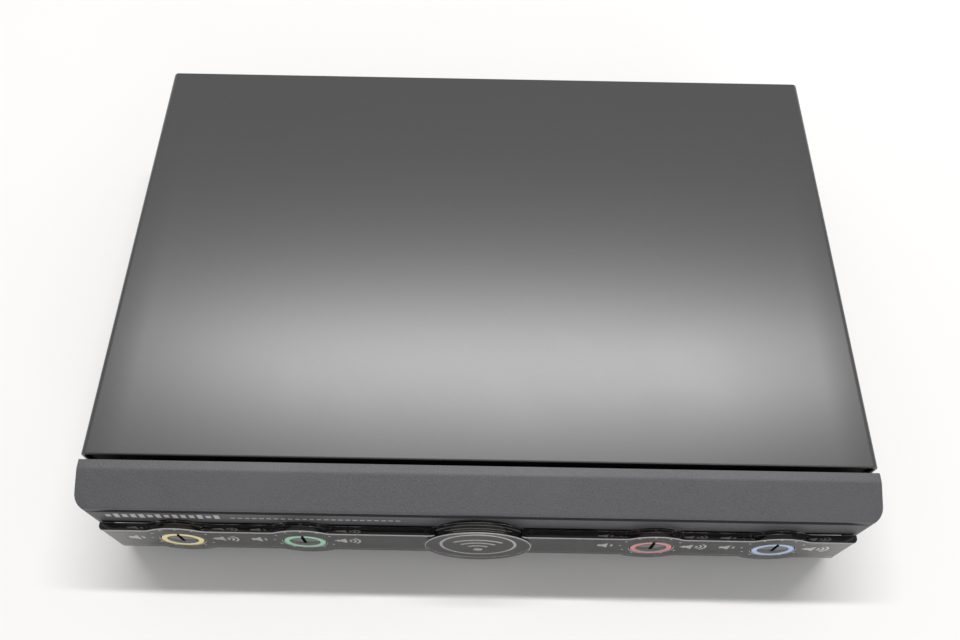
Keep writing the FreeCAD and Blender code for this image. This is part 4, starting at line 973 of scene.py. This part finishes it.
def make_socket(name, x):
    """The thread's radius is the barrel's, less a wave of y / pitch - angle / turn, faded at both ends."""
    low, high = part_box(f"sensor_socket_{name}")
    start, tip = rear_face + NUT_THICK, high.y
    flange_rear, flange_front = (low.y + along for along in FLANGE_AT)
    rear = np.array([(0, low.y), (SHANK, low.y), (SHANK, flange_rear), (FLANGE, flange_rear),
                     (FLANGE, flange_front), (SHANK, flange_front), (SHANK, start)])
    rim = np.array([(RIM_OUTSIDE, tip), (RIM_INSIDE, tip), (RIM_INSIDE, tip - MOUTH_DEEP),
                    (CONTACT_HOLE, tip - MOUTH_DEEP), (CONTACT_HOLE, tip - CONTACT_DEEP),
                    (0, tip - CONTACT_DEEP)])
    angle = np.linspace(0, 2 * math.pi, 96, endpoint=False)
    y = np.linspace(start, tip - RIM_TALL, 90)
    wave = 0.5 + 0.5 * np.cos(2 * math.pi * y[:, None] / THREAD_PITCH - angle)
    fade = np.clip(np.minimum(y - start, y[-1] - y) / THREAD_FADE, 0, 1)[:, None]
    thread = BARREL - THREAD_DEEP * wave * fade
    before, after = (np.broadcast_to(part[:, :1], (len(part), len(angle))) for part in (rear, rim))
    piece = Piece(f"sensor_barrel_{name}")
    turned(piece, as_column(np.concatenate([rear[:, 1], y, rim[:, 1]])),
           np.concatenate([before, thread, after]), (x, connector_z))
    piece.build("casing", nickel, "nickel", [f"sensor_socket_{name}"], smooth_angle=45)


insert = Piece("socket_inserts")
mouths = Piece("jack_mouths")
mouth_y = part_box("output_jack_green")[1].y
for name, x in zip("ab", socket_x):
    make_socket(name, x)
    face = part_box(f"sensor_socket_{name}")[1].y
    round_slab(insert, (x, connector_z), RIM_INSIDE - 2 * FIT,
               [(face - 0.45 * MM, 0.0), (face - 0.2 * MM, 0.0), (face - 0.12 * MM, 0.1 * MM)],
               hole=CONTACT_HOLE, count=64, hole_count=32)
for x in jack_x:
    round_slab(mouths, (x, connector_z), JACK_OUTSIDE,
               [(mouth_y - 0.4 * MM, 0.0), (mouth_y, 0.0), (mouth_y + 0.06 * MM, 0.06 * MM)],
               hole=JACK_BORE, count=64, hole_count=64)
insert.build("casing", black_moulding, "jack_black")
mouths.build("casing", nickel, "nickel")
print("sockets and jack mouths:", len(socket_x), len(jack_x))

# %% [markdown]
# ## Screws of the rear panel
# Four black pan-head screws hold the real panel. The cross could be cut with a boolean; a height that
# drops near either axis of the head gives the same recess with clean rows of faces.

# %% Panel screws with a cross recess
HEAD_RADIUS = 2.8 * MM
HEAD_TALL = 1.6 * MM
SHANK_RADIUS = 1.45 * MM
RECESS_DEEP = 0.85 * MM
CROSS_HALF, CROSS_WALL = 0.30 * MM, 0.10 * MM
CROSS_REACH, CROSS_END = 1.25 * MM, 0.2 * MM
SCREW_PLACES = [(side * x * MM, middle_of("panel_screws")[1]) for side in (-1, 1) for x in (12.0, 98.0)]


def add_cross_head(piece, place):
    """Height over the panel: a dome, less a cross where the nearer axis lies within its half width."""
    radius = as_column(np.concatenate([np.linspace(0.0, 1.6, 24), np.linspace(1.7, 2.8, 8)]) * MM)
    angle = np.linspace(0, 2 * math.pi, 96, endpoint=False)
    across, up = np.abs(radius * np.cos(angle)), np.abs(radius * np.sin(angle))
    near, far = np.minimum(across, up), np.maximum(across, up)
    cross = (np.clip((CROSS_HALF + CROSS_WALL - near) / CROSS_WALL, 0, 1)
             * np.clip((CROSS_REACH + CROSS_END - far) / CROSS_END, 0, 1))
    dome = HEAD_TALL * (1 - 0.55 * (radius / HEAD_RADIUS) ** 4)
    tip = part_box("panel_screws")[0].y
    under = np.broadcast_to(as_column([rear_face, rear_face, tip, tip]), (4, len(angle)))
    turned(piece, np.concatenate([rear_face + dome - RECESS_DEEP * cross, under]),
           np.concatenate([radius, as_column([HEAD_RADIUS, SHANK_RADIUS, SHANK_RADIUS, 0.0])]), place)


screws = Piece("rear_screws")
for place in SCREW_PLACES:
    add_cross_head(screws, place)
screws.build("casing", black_steel, "black_screws", ["panel_screws"], smooth_angle=35)
print("rear screws:", len(SCREW_PLACES))

# %% [markdown]
# ## Marks on the power rocker
# A plain ring and a plain bar are printed on the rocker's two halves. Each is a thin slab laid on the
# rocker's bent face, and rides with the rocker.

# %% Rocker marks
ROCKER_X, ROCKER_MID, ROCKER_FACE = middle_of("power_rocker")[0], 19.6 * MM, 72.35 * MM
ROCKER_SLOPE = 0.3645
MARK_LEVELS = [(-0.01 * MM, 0.0), (0.02 * MM, 0.0)]


def on_rocker(flat, depth):
    """The rocker's face: upright over its pivot, and at rest leaning out below it."""
    lean = ROCKER_SLOPE * np.clip(ROCKER_MID - flat[:, 1], 0, None)
    return flat[:, 0], ROCKER_FACE + lean + depth, flat[:, 1]


marks = Piece("rocker_marks")
round_slab(marks, (ROCKER_X, 22.2 * MM), 1.25 * MM, MARK_LEVELS, hole=0.9 * MM, count=40, hole_count=40,
           to_space=on_rocker)
slab(marks, box_outline(ROCKER_X - 0.2 * MM, 17.4 * MM, 0.4 * MM, 2.2 * MM), [], MARK_LEVELS, on_rocker)
marks.build("rocker", white_ink, "switch_black")
print("rocker marks: a ring and a bar")

# %% [markdown]
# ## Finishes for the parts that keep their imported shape
# Boards, chips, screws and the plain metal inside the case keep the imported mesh, and each gets the
# finish of its own material.

# %% Finishes by part
PACKED_FINISHES = [
    (chassis_paint_and_gap_shade, "bottom_chassis"),
    (panel_paint, "rear_panel"),
    (solder_mask, "front_board main_board"),
    (bright_steel, "front_board_screws board_screws foot_screws bezel_screws"),
    (black_steel, "cover_screws"),
    (sensor_plastic, "infrared_sensor_left infrared_sensor_right"),
    (lamp_plastic, "status_leds"),
    (brass, "board_standoffs"),
    (tinned_sheet, "tuner_shield_can"),
    (chip_plastic, "tuner_chips signal_processor audio_chips voltage_regulator"),
    (can_sleeve, "electrolytic_capacitors"),
    (black_anodised, "heat_sink"),
    (ribbon_plastic, "ribbon_cable"),
    (black_moulding, "ribbon_headers power_inlet power_switch_body power_rocker mode_switch_body"
                     " mode_slider"),
    (rubber, "foot_front_left foot_front_right foot_rear_left foot_rear_right"),
]
for prefix, node_finish in (("output_jack", black_moulding), ("pot_shaft", turned_aluminium),
                            ("pot_body", pot_plastic)):
    PACKED_FINISHES.append((node_finish, " ".join(f"{prefix}_{channel}" for channel in CHANNELS)))
for node_finish, node_names in PACKED_FINISHES:
    for node_name in node_names.split():
        node_mesh = nodes[node_name].data
        node_mesh.materials.clear()
        node_mesh.materials.append(node_finish)
print("dressed parts:", sum(len(node_names.split()) for _, node_names in PACKED_FINISHES))

# %% [markdown]
# ## Table, light and camera
# The unit stands on a white table under a long narrow lamp that hangs behind its middle and runs along
# its width. That lamp gives the matte cover its glow towards the front edge and throws a straight shadow
# in front. A weak wide lamp lifts the face, and the pale surroundings fill the rest.

# %% Table
def make_table():
    bpy.ops.mesh.primitive_plane_add(size=4.0, location=(0, 0, 0))
    table = bpy.context.object
    table.name = "table"
    material = new_material("white table", {"Base Color": (0.87, 0.86, 0.85, 1), "Roughness": 0.55,
                                            "Specular IOR Level": 0.3})[0]
    table.data.materials.append(material)


make_table()

# %% Lamps and surroundings
def add_soft_lamp(name, place, target, size, watts):
    lamp = bpy.data.lights.new(name, "AREA")
    lamp.shape = "RECTANGLE"
    lamp.size, lamp.size_y = size
    lamp.energy = watts
    holder = bpy.data.objects.new(name, lamp)
    bpy.context.scene.collection.objects.link(holder)
    holder.location = place
    holder.rotation_euler = (Vector(target) - Vector(place)).to_track_quat("-Z", "Y").to_euler()


add_soft_lamp("overhead lamp", (0.05, 0.325, 1.25), (0.05, 0, 0), (1.15, 0.05), 13.2)
add_soft_lamp("front fill", (0.5, -1.4, 0.55), (0, -0.07, 0.03), (0.9, 0.6), 3.6)
world = bpy.data.worlds.new("pale room")
world.use_nodes = True
set_inputs(world.node_tree.nodes["Background"], {"Color": (1.0, 1.0, 1.0, 1), "Strength": 0.44})
bpy.context.scene.world = world

# %% Camera
CAMERA_PLACE = (-0.000958, -0.138656, 0.259557)
CAMERA_PITCH = math.radians(61.434)    # looking down
CAMERA_YAW = math.radians(0.204)       # towards +X
CAMERA_ROLL = math.radians(1.212)
LENS = 32.258                          # on the 36 mm wide sensor


def add_camera():
    forward = Vector((math.sin(CAMERA_YAW) * math.cos(CAMERA_PITCH),
                      math.cos(CAMERA_YAW) * math.cos(CAMERA_PITCH), -math.sin(CAMERA_PITCH)))
    right = Vector((math.cos(CAMERA_YAW), -math.sin(CAMERA_YAW), 0))
    upward = right.cross(forward)
    rolled_right = math.cos(CAMERA_ROLL) * right + math.sin(CAMERA_ROLL) * upward
    rolled_up = -math.sin(CAMERA_ROLL) * right + math.cos(CAMERA_ROLL) * upward
    data = bpy.data.cameras.new("camera")
    data.lens = LENS
    data.sensor_width = 36.0
    data.clip_start = 0.01
    camera = bpy.data.objects.new("camera", data)
    axes = Matrix((rolled_right, rolled_up, -forward)).transposed().to_4x4()
    camera.matrix_world = Matrix.Translation(CAMERA_PLACE) @ axes
    bpy.context.scene.collection.objects.link(camera)
    bpy.context.scene.camera = camera


add_camera()
bpy.context.scene.view_settings.view_transform = "Standard"
